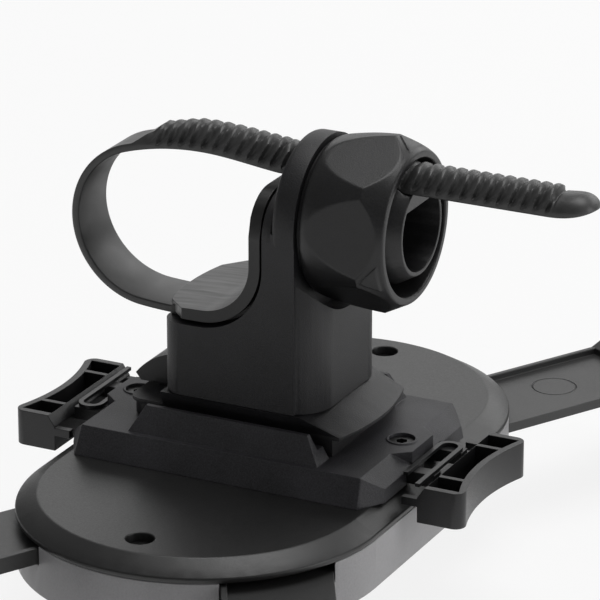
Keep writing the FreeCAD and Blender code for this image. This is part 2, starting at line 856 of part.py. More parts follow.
def make_dock():
    """Plate with sloped end facets and an ear at each end, two rails, and ways for the latches."""
    dock = body("dock")

    def plate_plan(name, inset, wing_inset, end_inset, level):
        half, wing = f"(dock_half_width - {inset})", f"(wing_half_width - {wing_inset})"
        length, end = f"(dock_half_length - {end_inset})", f"(dock_end - {end_inset})"
        corners = [
            (f"-{length}", f"-{half}"), (length, f"-{half}"), (end, f"-{wing}"), (end, wing),
            (length, half), (f"-{length}", half), (f"-{end}", wing), (f"-{end}", f"-{wing}"),
        ]
        return outline(dock, name, "XY_Plane", corners, level)

    low = plate_plan("dock_low", "0", "0", "0", "cover_top")
    high = plate_plan("dock_high", "dock_draft", "wing_draft", "dock_end_draft", "deck")
    loft(dock, "dock_plate", low, high)
    for name, sign in (("right", ""), ("left", "-")):
        inner, end = f"{sign}(dock_half_length - dock_end_draft)", f"{sign}(dock_end + cut_past)"
        slope = "facet_drop * (wing_reach + dock_end_draft + cut_past) / wing_reach"
        wedge = outline(
            dock, "facet_" + name, "XZ_Plane",
            [
                (inner, "deck"), (end, f"deck - {slope}"),
                (end, "deck + cut_past"), (inner, "deck + cut_past"),
            ],
        )
        pocket(dock, "facet_cut_" + name, wedge, "2 * (dock_half_width + cut_past)", both=True)
        end = f"{sign}(dock_end - dock_end_draft)"
        ear = outline(
            dock, "ear_" + name, "XY_Plane",
            [
                (inner, "-ear_half_width - ear_flare"), (end, "-ear_half_width"),
                (end, "ear_half_width"), (inner, "ear_half_width + ear_flare"),
            ],
            "cover_top",
        )
        pad(dock, "ear_pad_" + name, ear, "dock_height")
    for name, sign in (("front", -1), ("rear", 1)):
        edges = sorted((f"{sign} * rail_outer", f"{sign} * rail_inner"), key=val)
        foot = rectangle(
            dock, "rail_foot_" + name, "XY_Plane", "-rail_half_length", "rail_half_length", *edges, "deck"
        )
        edges = sorted((f"{sign} * (rail_outer - rail_slope)", f"{sign} * rail_inner"), key=val)
        crest = rectangle(
            dock, "rail_crest_" + name, "XY_Plane", "rail_end_slope - rail_half_length",
            "rail_half_length - rail_end_slope", *edges, "rail_top",
        )
        loft(dock, "rail_" + name, foot, crest)
        thin = f"{sign} * (rail_outer - rail_slope - rail_crest_thick)"
        edges = sorted((thin, f"{sign} * (rail_inner - cut_past)"), key=val)
        step = rectangle(
            dock, "rail_step_" + name, "YZ_Plane", *edges, "deck + rail_step", "rail_top + cut_past",
        )
        pocket(dock, "rail_step_cut_" + name, step, "2 * (rail_half_length + cut_past)", both=True)
    side = "latch_half_width + loose_gap"
    way = rectangle(
        dock, "latch_way", "YZ_Plane", f"-({side})", side, "cover_top - cut_past",
        "latch_top + running_gap",
    )
    pocket(dock, "latch_way_cut", way, "2 * (dock_end + cut_past)", both=True)
    spots = [(sign + "screw_place", "0", "fork_half_gap - loose_gap") for sign in ("", "-")]
    sockets = circles(dock, "screw_columns", "XY_Plane", spots, "cover_top")
    pad(dock, "screw_column_pads", sockets, "dock_height")
    spots = [(sign + "screw_place", "0", "screw_head_radius + socket_wall") for sign in ("", "-")]
    sockets = circles(dock, "socket_rounds", "XY_Plane", spots, "deck - socket_depth")
    pad(dock, "socket_rings", sockets, "socket_depth + socket_rise")
    spots = [(sign + "screw_place", "0", "screw_head_radius + screw_gap") for sign in ("", "-")]
    wells = circles(dock, "socket_wells", "XY_Plane", spots, "deck + cut_past")
    pocket(dock, "socket_well_cuts", wells, "cut_past + screw_head_height + loose_gap")
    spots = [(sign + "screw_place", "0", "screw_radius + running_gap") for sign in ("", "-")]
    holes = circles(dock, "socket_holes", "XY_Plane", spots, "deck")
    pocket(dock, "socket_hole_cuts", holes, "dock_height")
    for name, sign in (("right", 1), ("left", -1)):
        edges = sorted(
            (f"{sign} * (tooth_end - tab_travel - loose_gap)",
             f"{sign} * (tooth_end + tooth_thick + tooth_hook + loose_gap)"),
            key=val,
        )
        gate = rectangle(
            dock, "tooth_gate_" + name, "XY_Plane", *edges,
            "-tooth_half_width - loose_gap", "tooth_half_width + loose_gap", "deck",
        )
        pocket(dock, "tooth_gate_cut_" + name, gate, "deck - latch_top")
    for name, sign in (("left", "-"), ("right", "")):
        screw(
            "dock_screw_" + name, "screw_head_radius", "screw_head_height", "screw_radius",
            "deck - plate_top - screw_head_height - dock_screw_short",
            (sign + "screw_place", "0", "deck - screw_head_height - loose_gap"),
        )


def make_button(name, degrees):
    """Open box with two ribs and a dished grip, drawn on the +X side, with its latch."""
    tab = body("button_" + name)
    dish = "(tab_half_width^2 + tab_dish^2) / (2 * tab_dish)"
    plan = outline(
        tab,
        "tab_plan_" + name,
        "XY_Plane",
        [
            ("tab_inner", "-tab_half_width"),
            ("tab_outer", "-tab_half_width", dish, -1),
            ("tab_outer", "tab_half_width"),
            ("tab_inner", "tab_half_width"),
        ],
        lift="tab_base",
    )
    pad(tab, "tab_block_" + name, plan, "tab_height")
    round_edges(
        tab, "tab_corners_" + name, "tab_corner", lambda e: upright(e, val("tab_outer"))
    )
    near_side, far_side = "(rib_place - tab_rib / 2)", "(rib_place + tab_rib / 2)"
    end = "(tab_half_width - tab_wall)"
    cells = [(f"-{end}", f"-{far_side}"), (f"-{near_side}", near_side), (far_side, end)]
    for number, (start, stop) in enumerate(cells):
        low_edge, high_edge = (
            f"tab_outer - tab_wall - tab_dish * (1 - ({place_y} / tab_half_width)^2)"
            for place_y in (start, stop)
        )
        room = outline(
            tab, f"cell_{number}_{name}", "XY_Plane",
            [
                ("tab_inner + tab_wall", start), (low_edge, start, f"{dish} + tab_wall", -1),
                (high_edge, stop), ("tab_inner + tab_wall", stop),
            ],
            "tab_base + tab_height",
        )
        pocket(tab, f"cell_cut_{number}_{name}", room, "tab_height - tab_floor")
    top = "tab_base + tab_height"
    chamfer = outline(
        tab, "tab_slope_plan_" + name, "XZ_Plane",
        [
            ("tab_inner + tab_lip", top), ("tab_inner", f"{top} - tab_slope"),
            ("tab_inner - cut_past", f"{top} - tab_slope"), ("tab_inner - cut_past", f"{top} + cut_past"),
            ("tab_inner + tab_lip", f"{top} + cut_past"),
        ],
    )
    pocket(tab, "tab_slope_cut_" + name, chamfer, "2 * (tab_half_width + cut_past)", both=True)
    for number, sign in enumerate((-1, 1)):
        edges = sorted((f"{sign} * tab_half_width", f"{sign} * {end}"), key=val)
        tongue = rectangle(
            tab, f"side_tongue_{number}_{name}", "XY_Plane", "dock_end + tongue_gap",
            "tab_inner + tab_wall", *edges, "cover_top - tongue_sink",
        )
        pad(tab, f"side_tongue_pad_{number}_{name}", tongue, "tongue_sink + tongue_rise")
    side, gap = "latch_half_width", "fork_half_gap"
    latch = outline(
        tab,
        "latch_" + name,
        "XY_Plane",
        [
            ("tooth_end", f"-{side}"), ("tab_inner", f"-{side}"), ("tab_inner", f"-{gap}"),
            ("fork_root", f"-{gap}"), ("fork_root", gap), ("tab_inner", gap),
            ("tab_inner", side), ("tooth_end", side),
        ],
        lift="latch_base",
    )
    pad(tab, "latch_pad_" + name, latch, "latch_thick")
    post = "tooth_end + tooth_thick"
    tooth = outline(
        tab,
        "tooth_" + name,
        "XZ_Plane",
        [
            ("tooth_end", "latch_top"),
            (post, "latch_top"),
            (post, "hook_base"),
            (f"{post} + tooth_hook", "hook_base"),
            (f"{post} + tooth_slope", "hook_top"),
            ("tooth_end", "hook_top"),
        ],
    )
    pad(tab, "tooth_pad_" + name, tooth, "2 * tooth_half_width", both=True)
    turn_about_z(tab, degrees)
    leaf = body("release_spring_" + name)
    near_x, far_x = "(dock_end + running_gap)", "(tab_inner - running_gap)"
    bend = f"(({far_x} - {near_x}) / 2)"
    turn = f"(leaf_turn - {bend})"
    strip = outline(
        leaf,
        "leaf_plan_" + name,
        "XY_Plane",
        [
            (far_x, "-leaf_long"), (far_x, turn, bend, 1), (near_x, turn), (near_x, "-leaf_short"),
            (f"{near_x} + leaf_thick", "-leaf_short"),
            (f"{near_x} + leaf_thick", turn, f"{bend} - leaf_thick", -1),
            (f"{far_x} - leaf_thick", turn), (f"{far_x} - leaf_thick", "-leaf_long"),
        ],
        lift="latch_top + running_gap",
    )
    pad(leaf, "leaf_pad_" + name, strip, "leaf_rise")
    turn_about_z(leaf, degrees)


# ---- shoe and post bolt -----------------------------------------------------------------------------


def make_shoe():
    """Key between the rails, flange over them and a cone up to the post."""
    shoe = body("shoe")
    key = rectangle(
        shoe, "key_plan", "XY_Plane", "-key_half_length", "key_half_length",
        "-key_half_width", "key_half_width", "deck",
    )
    pad(shoe, "key", key, "shoe_base - deck")
    side = "(toe_half_width - toe_inset)"
    toe = outline(
        shoe,
        "toe_plan",
        "XY_Plane",
        [
            ("2 * toe_corner - toe_reach", side),
            ("toe_corner - toe_reach", side, "toe_corner", 1),
            ("-toe_reach", f"{side} - toe_corner"),
            ("-toe_reach", f"toe_corner - {side}", "toe_corner", 1),
            ("toe_corner - toe_reach", f"-{side}"),
            ("2 * toe_corner - toe_reach", f"-{side}"),
        ],
        lift="deck + toe_clearance",
    )
    pad(shoe, "toe", toe, "shoe_lift - toe_clearance")
    bulge = "(shoe_half_width^2 + shoe_bulge^2) / (2 * shoe_bulge)"
    flange = outline(
        shoe,
        "flange_plan",
        "XY_Plane",
        [
            ("-post_left", "-shoe_half_width"),
            ("shoe_corner", "-shoe_half_width", bulge, 1),
            ("shoe_corner", "shoe_half_width"),
            ("-post_left", "shoe_half_width"),
            ("-post_left", "toe_half_width"),
            ("toe_corner - toe_reach", "toe_half_width", "toe_corner", 1),
            ("-toe_reach", "toe_half_width - toe_corner"),
            ("-toe_reach", "toe_corner - toe_half_width", "toe_corner", 1),
            ("toe_corner - toe_reach", "-toe_half_width"),
            ("-post_left", "-toe_half_width"),
        ],
        lift="shoe_base",
    )
    pad(shoe, "flange", flange, "skirt_rim")
    low = outline(
        shoe,
        "cone_low",
        "XY_Plane",
        [
            ("-post_left", "-shoe_half_width"),
            ("shoe_corner", "-shoe_half_width", bulge, 1),
            ("shoe_corner", "shoe_half_width"),
            ("-post_left", "shoe_half_width"),
        ],
        lift="shoe_base + skirt_rim",
    )
    rise = "(post_half_width^2 + cone_bulge^2) / (2 * cone_bulge)"
    high = outline(
        shoe,
        "cone_high",
        "XY_Plane",
        [
            ("-post_left", "-post_half_width"),
            ("post_right - cone_bulge", "-post_half_width", rise, 1),
            ("post_right - cone_bulge", "post_half_width"),
            ("-post_left", "post_half_width"),
        ],
        lift="shoe_top",
    )
    loft(shoe, "cone", low, high)
    for name, sign in (("right", 1), ("left", -1)):
        inner = f"{sign} * (tooth_end - tab_travel - loose_gap)"
        lip = f"{sign} * (tooth_end + tooth_thick + screw_gap)"
        outer = f"{sign} * (tooth_end + tooth_thick + tooth_hook + loose_gap)"
        room = outline(
            shoe,
            "catch_" + name,
            "XZ_Plane",
            [
                (inner, "deck"),
                (lip, "deck"),
                (lip, "deck + ledge_height"),
                (outer, "deck + ledge_height"),
                (outer, "hook_top + loose_gap"),
                (inner, "hook_top + loose_gap"),
            ],
        )
        pocket(shoe, "catch_cut_" + name, room, "2 * (tooth_half_width + loose_gap)", both=True)
    bore = circles(shoe, "bolt_way", "XY_Plane", [("0", "0", "bolt_radius + running_gap / 2")], "shoe_top")
    pocket(shoe, "bolt_way_cut", bore, "shoe_top - deck")
    seat = circles(shoe, "bolt_seat", "XY_Plane", [("0", "0", "bolt_head_radius + screw_gap")], "deck")
    pocket(shoe, "bolt_seat_cut", seat, "bolt_head_height + running_gap", back=True)


def make_post_bolt():
    screw(
        "post_bolt", "bolt_head_radius", "bolt_head_height", "bolt_radius",
        "nut_base + nut_height + bolt_stick - deck - running_gap - bolt_head_height",
        ("0", "0", "deck + running_gap + bolt_head_height"),
        direction=(0, 0, -1),
    )
    ring(
        "post_washer", "washer_radius", "bolt_radius + running_gap / 2", "washer_thick",
        ("0", "0", "nut_base - washer_thick"), (0, 0, 1),
    )
    nut = body("post_nut")
    corners = [(f"nut_radius * cos({60 * n})", f"nut_radius * sin({60 * n})") for n in range(6)]
    hexagon = outline(nut, "nut_plan", "XY_Plane", corners, lift="nut_base")
    pad(nut, "nut_block", hexagon, "nut_height")
    bore = circles(nut, "nut_bore", "XY_Plane", [("0", "0", "bolt_radius")], "nut_base + nut_height")
    pocket(nut, "nut_bore_cut", bore, "nut_height")


# ---- housing, liner and lever --------------------------------------------------------------------


def make_saddle():
    """Left half of the housing: block under the rod and the thin wall behind the liner."""
    saddle = body("saddle_housing")
    radius = "saddle_inner + rod_offset"
    side = outline(
        saddle,
        "saddle_side",
        "XZ_Plane",
        [
            ("-post_left", "post_base"),
            ("seam_place", "post_base"),
            ("seam_place", "cover_top + liner_top"),
            ("saddle_inner", "cover_top + liner_top"),
            ("saddle_inner", "rod_level", radius, -1),
            ("-rod_offset", f"rod_level - ({radius})"),
            ("-post_left", f"rod_level - ({radius})"),
        ],
    )
    pad(saddle, "saddle_block", side, "2 * post_half_width", both=True)
    round_edges(
        saddle, "saddle_corners", "saddle_corner", lambda e: upright(e, -val("post_left"))
    )
    top = val("cover_top + liner_top")
    round_edges(
        saddle, "saddle_shoulders", "shoulder_round",
        lambda e: along_x(e, top, val("post_half_width")),
    )
    slot = rectangle(
        saddle, "band_slot", "XZ_Plane", "-post_left - cut_past", "band_slot_reach - anchor_place",
        "anchor_level - band_slot_drop", f"rod_level - ({radius}) + cut_past",
    )
    pocket(saddle, "band_slot_cut", slot, "2 * (band_foot_half_width + band_side_gap)", both=True)
    pin = circles(
        saddle, "anchor_way", "XZ_Plane",
        [("-anchor_place", "anchor_level", "anchor_radius + running_gap / 2")],
        lift="-post_half_width",
    )
    pocket(saddle, "anchor_way_cut", pin, "post_half_width + anchor_half_length", back=True)
    bore = circles(
        saddle, "bolt_bore", "XY_Plane", [("0", "0", "bolt_radius + running_gap / 2")],
        "post_base + post_floor",
    )
    pocket(saddle, "bolt_bore_cut", bore, "post_floor")
    roof = "nut_height + washer_thick + nut_headroom"
    round_room = circles(
        saddle, "nut_room", "XY_Plane", [("0", "0", "washer_radius + eye_gap")], "post_base + post_floor"
    )
    pocket(saddle, "nut_room_cut", round_room, roof, back=True)
    entry = rectangle(
        saddle, "nut_entry", "XY_Plane", "0", "seam_place + cut_past", "-washer_radius - eye_gap",
        "washer_radius + eye_gap", "post_base + post_floor",
    )
    pocket(saddle, "nut_entry_cut", entry, roof, back=True)
    lever_room = rectangle(
        saddle, "lever_room", "XZ_Plane", "-post_left - cut_past", "lever_room_reach - lever_pivot",
        "post_base - cut_past", "lever_level + lever_room_rise",
    )
    pocket(saddle, "lever_room_cut", lever_room, "2 * (lever_half_width + loose_gap)", both=True)
    pin = circles(
        saddle, "lever_pin_way", "XZ_Plane",
        [("-lever_pivot", "lever_level", "lever_pin_radius + running_gap / 2")],
        lift="-post_half_width",
    )
    pocket(saddle, "lever_pin_cut", pin, "post_half_width + lever_pin_half_length", back=True)
    spots = [(sign + "joint_screw_place", "joint_level", "screw_radius + running_gap") for sign in ("", "-")]
    holes = circles(saddle, "joint_holes", "YZ_Plane", spots, "seam_place")
    pocket(saddle, "joint_hole_cuts", holes, "seam_place + post_left")
    spots = [(sign + "joint_screw_place", "joint_level", "screw_head_radius + screw_gap") for sign in ("", "-")]
    wells = circles(saddle, "joint_wells", "YZ_Plane", spots, "-post_left")
    pocket(saddle, "joint_well_cuts", wells, "joint_screw_depth", back=True)


def make_post():
    """Right half of the housing: rounded block, wall and round head with the knob's spigot."""
    post = body("post_housing")
    plan = outline(
        post,
        "post_plan",
        "XY_Plane",
        [
            ("seam_place", "-post_half_width"),
            ("post_right - post_corner", "-post_half_width", "post_corner", 1),
            ("post_right", "post_corner - post_half_width"),
            ("post_right", "post_half_width - post_corner", "post_corner", 1),
            ("post_right - post_corner", "post_half_width"),
            ("seam_place", "post_half_width"),
        ],
        lift="post_base",
    )
    pad(post, "post_block", plan, "post_block_height")
    wall = rectangle(
        post, "wall_plan", "XY_Plane", "seam_place", "head_face", "-post_half_width",
        "post_half_width", "post_base",
    )
    pad(post, "post_wall", wall, "axis_level - post_base")
    room = circles(
        post, "knob_room", "YZ_Plane", [("0", "0", "knob_corner_radius + knob_gap")], "head_face", "axis_level"
    )
    pocket(post, "knob_room_cut", room, "knob_length", back=True)
    groove = "head_face + ring_place - running_gap / 2"
    profile = outline(
        post,
        "head_profile",
        "XZ_Plane",
        [
            ("seam_place", "0"),
            ("head_face + spigot_length", "0"),
            ("head_face + spigot_length", "spigot_radius"),
            (f"{groove} + ring_thick + running_gap", "spigot_radius"),
            (f"{groove} + ring_thick + running_gap", "ring_inner - running_gap / 2"),
            (groove, "ring_inner - running_gap / 2"),
            (groove, "spigot_radius"),
            ("head_face", "spigot_radius"),
            ("head_face", "head_radius"),
            ("seam_place + head_round", "head_radius", "head_round", 1),
            ("seam_place", "head_radius - head_round"),
        ],
        rise="axis_level",
    )
    revolve(post, "head", profile, "H_Axis")
    strap = "strap_radius + strap_gap"
    way = outline(
        post,
        "strap_way",
        "YZ_Plane",
        [
            (f"-({strap})", "strap_floor - strap_gap"),
            (strap, "strap_floor - strap_gap"),
            (strap, "strap_floor"),
            ("strap_room", "strap_floor", "strap_room", 1),
            ("-strap_room", "strap_floor"),
            (f"-({strap})", "strap_floor"),
        ],
        lift="seam_place",
        rise="axis_level",
    )
    pocket(post, "strap_way_cut", way, "head_face + spigot_length - seam_place", back=True)
    stub = circles(
        post, "core_seat", "YZ_Plane", [("0", "0", "core_stub_radius + fit_gap")],
        "head_face + spigot_length", "axis_level",
    )
    pocket(post, "core_seat_cut", stub, "core_stub + running_gap")
    spots = [(sign + "joint_screw_place", "joint_level", "screw_radius") for sign in ("", "-")]
    holes = circles(post, "joint_pilots", "YZ_Plane", spots, "seam_place")
    pocket(post, "joint_pilot_cuts", holes, "joint_screw_grip", back=True)
    for side, sign in (("front", "-"), ("rear", "")):
        screw(
            "housing_screw_" + side, "screw_head_radius", "screw_head_height", "screw_radius",
            "post_left - joint_screw_depth + seam_place + joint_screw_grip - loose_gap",
            ("joint_screw_depth - post_left", sign + "joint_screw_place", "joint_level"),
            direction=(-1, 0, 0),
        )


def make_liner():
    """Rubber saddle: a quarter-round seat for the rod with a low curled lip and a bowed free end."""
    liner = body("liner")
    outer = "rod_radius + liner_thick"
    curl = "rod_offset + rod_radius * sin(rod_wrap)"
    lip = "rod_level - rod_radius * cos(rod_wrap)"
    end = "-liner_end - liner_bulge"
    side = outline(
        liner,
        "liner_side",
        "XZ_Plane",
        [
            (end, f"rod_level - ({outer})"),
            ("-rod_offset", f"rod_level - ({outer})", outer, 1),
            ("liner_outer", "rod_level"),
            ("liner_outer", "cover_top + liner_top"),
            ("liner_inner", "cover_top + liner_top"),
            ("liner_inner", "rod_level", "rod_radius", -1),
            (f"-({curl})", lip),
            (end, lip),
        ],
    )
    pad(liner, "liner_block", side, "2 * liner_half_width", both=True)
    foot = outline(
        liner,
        "foot_side",
        "XZ_Plane",
        [
            ("foot_inset - liner_end", f"rod_level - ({outer}) - liner_gap"),
            ("-rod_offset", f"rod_level - ({outer}) - liner_gap", f"{outer} + liner_gap", 1),
            ("saddle_inner", "rod_level"),
            ("saddle_inner", "cover_top + liner_top - shoulder_round"),
            ("liner_inner + foot_inset", "cover_top + liner_top - shoulder_round"),
            ("liner_inner + foot_inset", "rod_level", "rod_radius + foot_inset", -1),
            ("-rod_offset", "rod_level - rod_radius - foot_inset"),
            ("foot_inset - liner_end", "rod_level - rod_radius - foot_inset"),
        ],
    )
    pad(liner, "liner_foot", foot, "2 * foot_half_width", both=True)
    top = val("cover_top + liner_top")
    round_edges(
        liner, "liner_shoulders", "shoulder_round",
        lambda e: along_x(e, top, val("liner_half_width")),
    )
    narrow = "(liner_half_width - liner_bevel)"
    wide = "(liner_half_width + cut_past)"
    bow = f"({narrow}^2 + liner_bulge^2) / (2 * liner_bulge)"
    trim = outline(
        liner,
        "liner_end_plan",
        "XY_Plane",
        [
            (f"{end} - cut_past", f"-{wide}"),
            ("liner_bevel + cut_past - liner_end", f"-{wide}"),
            ("-liner_end", f"-{narrow}", bow, -1),
            ("-liner_end", narrow),
            ("liner_bevel + cut_past - liner_end", wide),
            (f"{end} - cut_past", wide),
        ],
        lift=f"rod_level - ({outer}) - liner_gap - cut_past",
    )
    pocket(liner, "liner_end_cut", trim, "rod_radius", back=True)


def make_lever():
    """Thumb lever on the left of the post, on a pin along Y."""
    lever = body("index_lever")
    heel = "-post_left - lever_heel"
    toe = "shoe_base + skirt_rim + lever_toe_gap"
    side = outline(
        lever,
        "lever_side",
        "XZ_Plane",
        [
            (heel, toe),
            (heel, "post_base + lever_foot_gap"),
            ("lever_nose - lever_pivot", "post_base + lever_foot_gap"),
            ("lever_nose - lever_pivot", "lever_level + lever_nose"),
            (heel, "lever_level + lever_hump", "lever_bow", 1),
            ("-lever_reach", f"{toe} + lever_tip_thick"),
            ("lever_tip_slope - lever_reach", toe),
        ],
    )
    pad(lever, "lever_block", side, "2 * lever_half_width", both=True)
    bore = circles(
        lever, "lever_bore", "XZ_Plane",
        [("-lever_pivot", "lever_level", "lever_pin_radius + running_gap / 2")],
        lift="-lever_half_width",
    )
    pocket(lever, "lever_bore_cut", bore, "2 * lever_half_width", back=True)
    pin = cylinder(
        "lever_pin", "lever_pin_radius", "lever_pin_half_length + post_half_width - pin_inset",
        ("-lever_pivot", "-lever_pin_half_length", "lever_level"), (0, 1, 0),
    )
    node(pin, "lever_pin")


# ---- knob, core and strap ------------------------------------------------------------------------


def make_core():
    """Fixed tube in the knob that carries the strap on its flat top."""
    core = body("knob_core")
    start = "head_face + spigot_length"
    tube = outline(
        core,
        "core_profile",
        "XZ_Plane",
        [
            (start, "0"),
            (f"{start} + core_length", "0"),
            (f"{start} + core_length", "core_nose_radius"),
            (f"{start} + core_length - core_nose", "core_radius"),
            (start, "core_radius"),
        ],
        rise="axis_level",
    )
    revolve(core, "core_tube", tube, "H_Axis")
    stub = circles(core, "stub_round", "YZ_Plane", [("0", "0", "core_stub_radius")], start, "axis_level")
    pad(core, "core_stub_pad", stub, "core_stub", back=True)
    half = "sqrt(core_hole^2 - core_flat^2)"
    hole = outline(
        core,
        "core_hole_plan",
        "YZ_Plane",
        [(half, "core_flat"), (f"-({half})", "core_flat", "core_hole", 2)],
        lift=f"{start} + core_length",
        rise="axis_level",
    )
    pocket(core, "core_hole_cut", hole, "core_length - core_web")
    side = "strap_radius + strap_gap"
    channel = rectangle(
        core, "channel", "YZ_Plane", f"-({side})", side, "strap_floor - running_gap",
        "core_radius + cut_past", f"{start} + core_length", "axis_level",
    )
    pocket(core, "channel_cut", channel, "core_length")
    ring(
        "retaining_ring", "ring_outer", "ring_inner", "ring_thick",
        ("head_face + ring_place", "0", "axis_level"), (1, 0, 0),
    )


def make_knob():
    """Six-sided tightening knob: a domed turning cut by six flats, with a wide bore."""
    knob = body("knob")
    back = "head_face + 2 * running_gap"
    front = "head_face + knob_length"
    waist = "head_face + knob_waist"
    groove = "head_face + ring_place - running_gap"
    recess = "spigot_radius + running_gap"
    profile = outline(
        knob,
        "knob_profile",
        "XZ_Plane",
        [
            (back, recess),
            (groove, recess),
            (groove, "ring_outer + running_gap"),
            (f"{groove} + ring_thick + 2 * running_gap", "ring_outer + running_gap"),
            (f"{groove} + ring_thick + 2 * running_gap", recess),
            ("head_face + spigot_length + running_gap", recess),
            ("head_face + spigot_length + running_gap", "knob_bore"),
            (front, "knob_bore"),
            (front, "knob_front_radius"),
            (waist, "knob_corner_radius", "dome_radius", 1),
            (back, "knob_back_radius"),
        ],
        rise="axis_level",
    )
    revolve(knob, "knob_turning", profile, "H_Axis")
    span = f"(knob_flat_radius - ({waist} - ({back})) * tan(knob_flat_lean)) / cos(30)"
    corners = [
        (f"{span} * sin(knob_turned + {60 * n})", f"{span} * cos(knob_turned + {60 * n})")
        for n in range(6)
    ]
    hexagon = outline(knob, "knob_flats", "YZ_Plane", corners, back, "axis_level")
    up = FreeCAD.Vector(0, 0, 1)
    hexagon.addGeometry(Part.Circle(FreeCAD.Vector(), up, 2 * val("knob_corner_radius")))
    rim = hexagon.GeometryCount - 1
    place(hexagon, rim, 3, "0", "0")
    index = hexagon.addConstraint(Sketcher.Constraint("Radius", rim, 2 * val("knob_corner_radius")))
    hexagon.setExpression(f"Constraints[{index}]", ex("2 * knob_corner_radius"))
    cut = pocket(knob, "knob_flat_cuts", hexagon, "knob_length", back=True)
    cut.setExpression("TaperAngle", ex("knob_flat_lean"))


def make_strap_tail():
    """Ribbed part of the strap: a half-round bar with slanted ribs and a smooth tip."""
    tail = body("strap_tail")
    base = "strap_radius - rib_depth"
    profile = outline(
        tail,
        "tail_profile",
        "XZ_Plane",
        [
            ("-strap_left", "0"),
            ("strap_tip", "0"),
            ("strap_tip - tip_nose", "tip_low"),
            ("strap_tip - tip_taper", "tip_middle"),
            ("ribs_right + tip_shoulder", "tip_high"),
            ("ribs_right", base),
            ("-strap_left", base),
        ],
        rise="axis_level + strap_floor",
    )
    revolve(tail, "tail_bar", profile, "H_Axis", 180, both=True)
    rib = outline(
        tail,
        "rib_plan",
        "YZ_Plane",
        [("-strap_radius", "0"), ("strap_radius", "0", "strap_radius", 1)],
        rise="axis_level + strap_floor",
    )
    spot = FreeCAD.Placement(
        FreeCAD.Vector(), FreeCAD.Rotation(FreeCAD.Vector(0, 1, 0), val("rib_slant"))
    )
    rib.AttachmentOffset = spot
    rib.setExpression("AttachmentOffset.Base.z", ex("rib_width + rib_start - strap_left"))
    rib.setExpression("AttachmentOffset.Base.y", ex("axis_level + strap_floor"))
    first = pad(tail, "rib", rib, "rib_width", both=True)
    doc.recompute()
    count = math.floor(val("(ribs_right + strap_left - rib_width - rib_start) / rib_pitch")) + 1
    row = tail.newObject("PartDesign::LinearPattern", "rib_row")
    row.Originals = [first]
    row.Direction = (origin_part(tail, "X_Axis"), [""])
    row.Mode = "Spacing"
    row.setExpression("Offset", ex("rib_pitch"))
    row.Occurrences = count
    tail.Tip = row


def make_strap_band():
    """Smooth band, wider towards its foot: an eye round the anchor pin, a run and the loop."""
    radius = val("band_loop_radius")
    half = val("band_thick / 2")
    top = FreeCAD.Vector(-val("strap_left"), 0, val("axis_level + strap_floor") + half)
    first = top - FreeCAD.Vector(0, 0, radius)
    eye = FreeCAD.Vector(-val("anchor_place"), 0, val("anchor_level"))
    eye_radius = val("anchor_radius + running_gap")
    low = eye + FreeCAD.Vector(val("anchor_place - post_left - band_lead"), 0, eye_radius + half)
    run = eye + FreeCAD.Vector(0, 0, eye_radius + half)
    across = low.x - first.x
    drop = first.z - low.z
    big = (across**2 + drop**2 - radius**2) / (2 * (drop - radius))
    second = low + FreeCAD.Vector(0, 0, big)
    way = (first - second).normalize()
    meet = first + way * radius

    def arc(centre, size, a, b):
        middle = ((a - centre).normalize() + (b - centre).normalize()).normalize()
        return Part.Arc(a, centre + middle * size, b).toShape()

    left = first - FreeCAD.Vector(radius, 0, 0)
    path = Part.Wire(
        [
            arc(first, radius, top, left),
            arc(first, radius, left, meet),
            arc(second, big, meet, low),
            Part.makeLine(low, run),
        ]
    )

    def section(centre, width, rise):
        rows = ((-width, -rise), (width, -rise), (width, rise), (-width, rise), (-width, -rise))
        return Part.makePolygon([centre + FreeCAD.Vector(0, y, z) for y, z in rows])

    foot = val("band_foot_half_width")
    # the way turns half round, so the last section's upper side is its inner one
    ends = [section(top, val("band_half_width"), half), section(run, foot, -half)]
    band = path.makePipeShell(ends, True, True)
    side = FreeCAD.Vector(0, 1, 0)
    start = eye - side * foot
    loop = Part.makeCylinder(eye_radius + 2 * half, 2 * foot, start, side)
    hole = Part.makeCylinder(eye_radius, 2 * foot, start, side)
    item = doc.addObject("Part::Feature", "strap_band")
    item.Shape = band.fuse(loop).cut(hole).removeSplitter()
    node(item, "strap_band")
    pin = cylinder(
        "strap_anchor_pin", "anchor_radius", "anchor_half_length + post_half_width - pin_inset",
        ("-anchor_place", "-anchor_half_length", "anchor_level"), (0, 1, 0),
    )
    node(pin, "strap_anchor_pin")


make_tray()
make_cover()
make_cover_screws()
make_device_pads()
make_scroll_plate()
make_scroll_spring()
for arm_name, arm_degrees in arm_directions().items():
    make_arm(arm_name, arm_degrees)
make_dock()
make_button("right", 0)
make_button("left", 180)
make_shoe()
make_post_bolt()
make_saddle()
make_post()
make_liner()
make_lever()
make_core()
make_knob()
make_strap_tail()
make_strap_band()

doc.recompute()
for item in doc.Objects:
    if "Invalid" in item.State or "Error" in item.State:
        raise ValueError(f"{item.Label} failed: {item.State}")
for item in NODES:
    if item.Shape.isNull() or not item.Shape.isValid() or not item.Shape.Solids:
        raise ValueError(f"{item.Label} has no valid solid")
    item.Shape.exportStep(f"parts/{item.Label}.step")
    print(f"{item.Label}: {len(item.Shape.Solids)} solid, {item.Shape.Volume:.0f} mm3")
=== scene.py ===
"""Looks of the strap-on device holder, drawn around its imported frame.

Shapes are worked out in millimetres, in the frame's own axes, and made in metres. Materials, floor,
lamps and camera are given in metres, and the scale of a noise is per metre.
"""

import json
import math

import bpy
import bmesh
from mathutils import Matrix, Vector


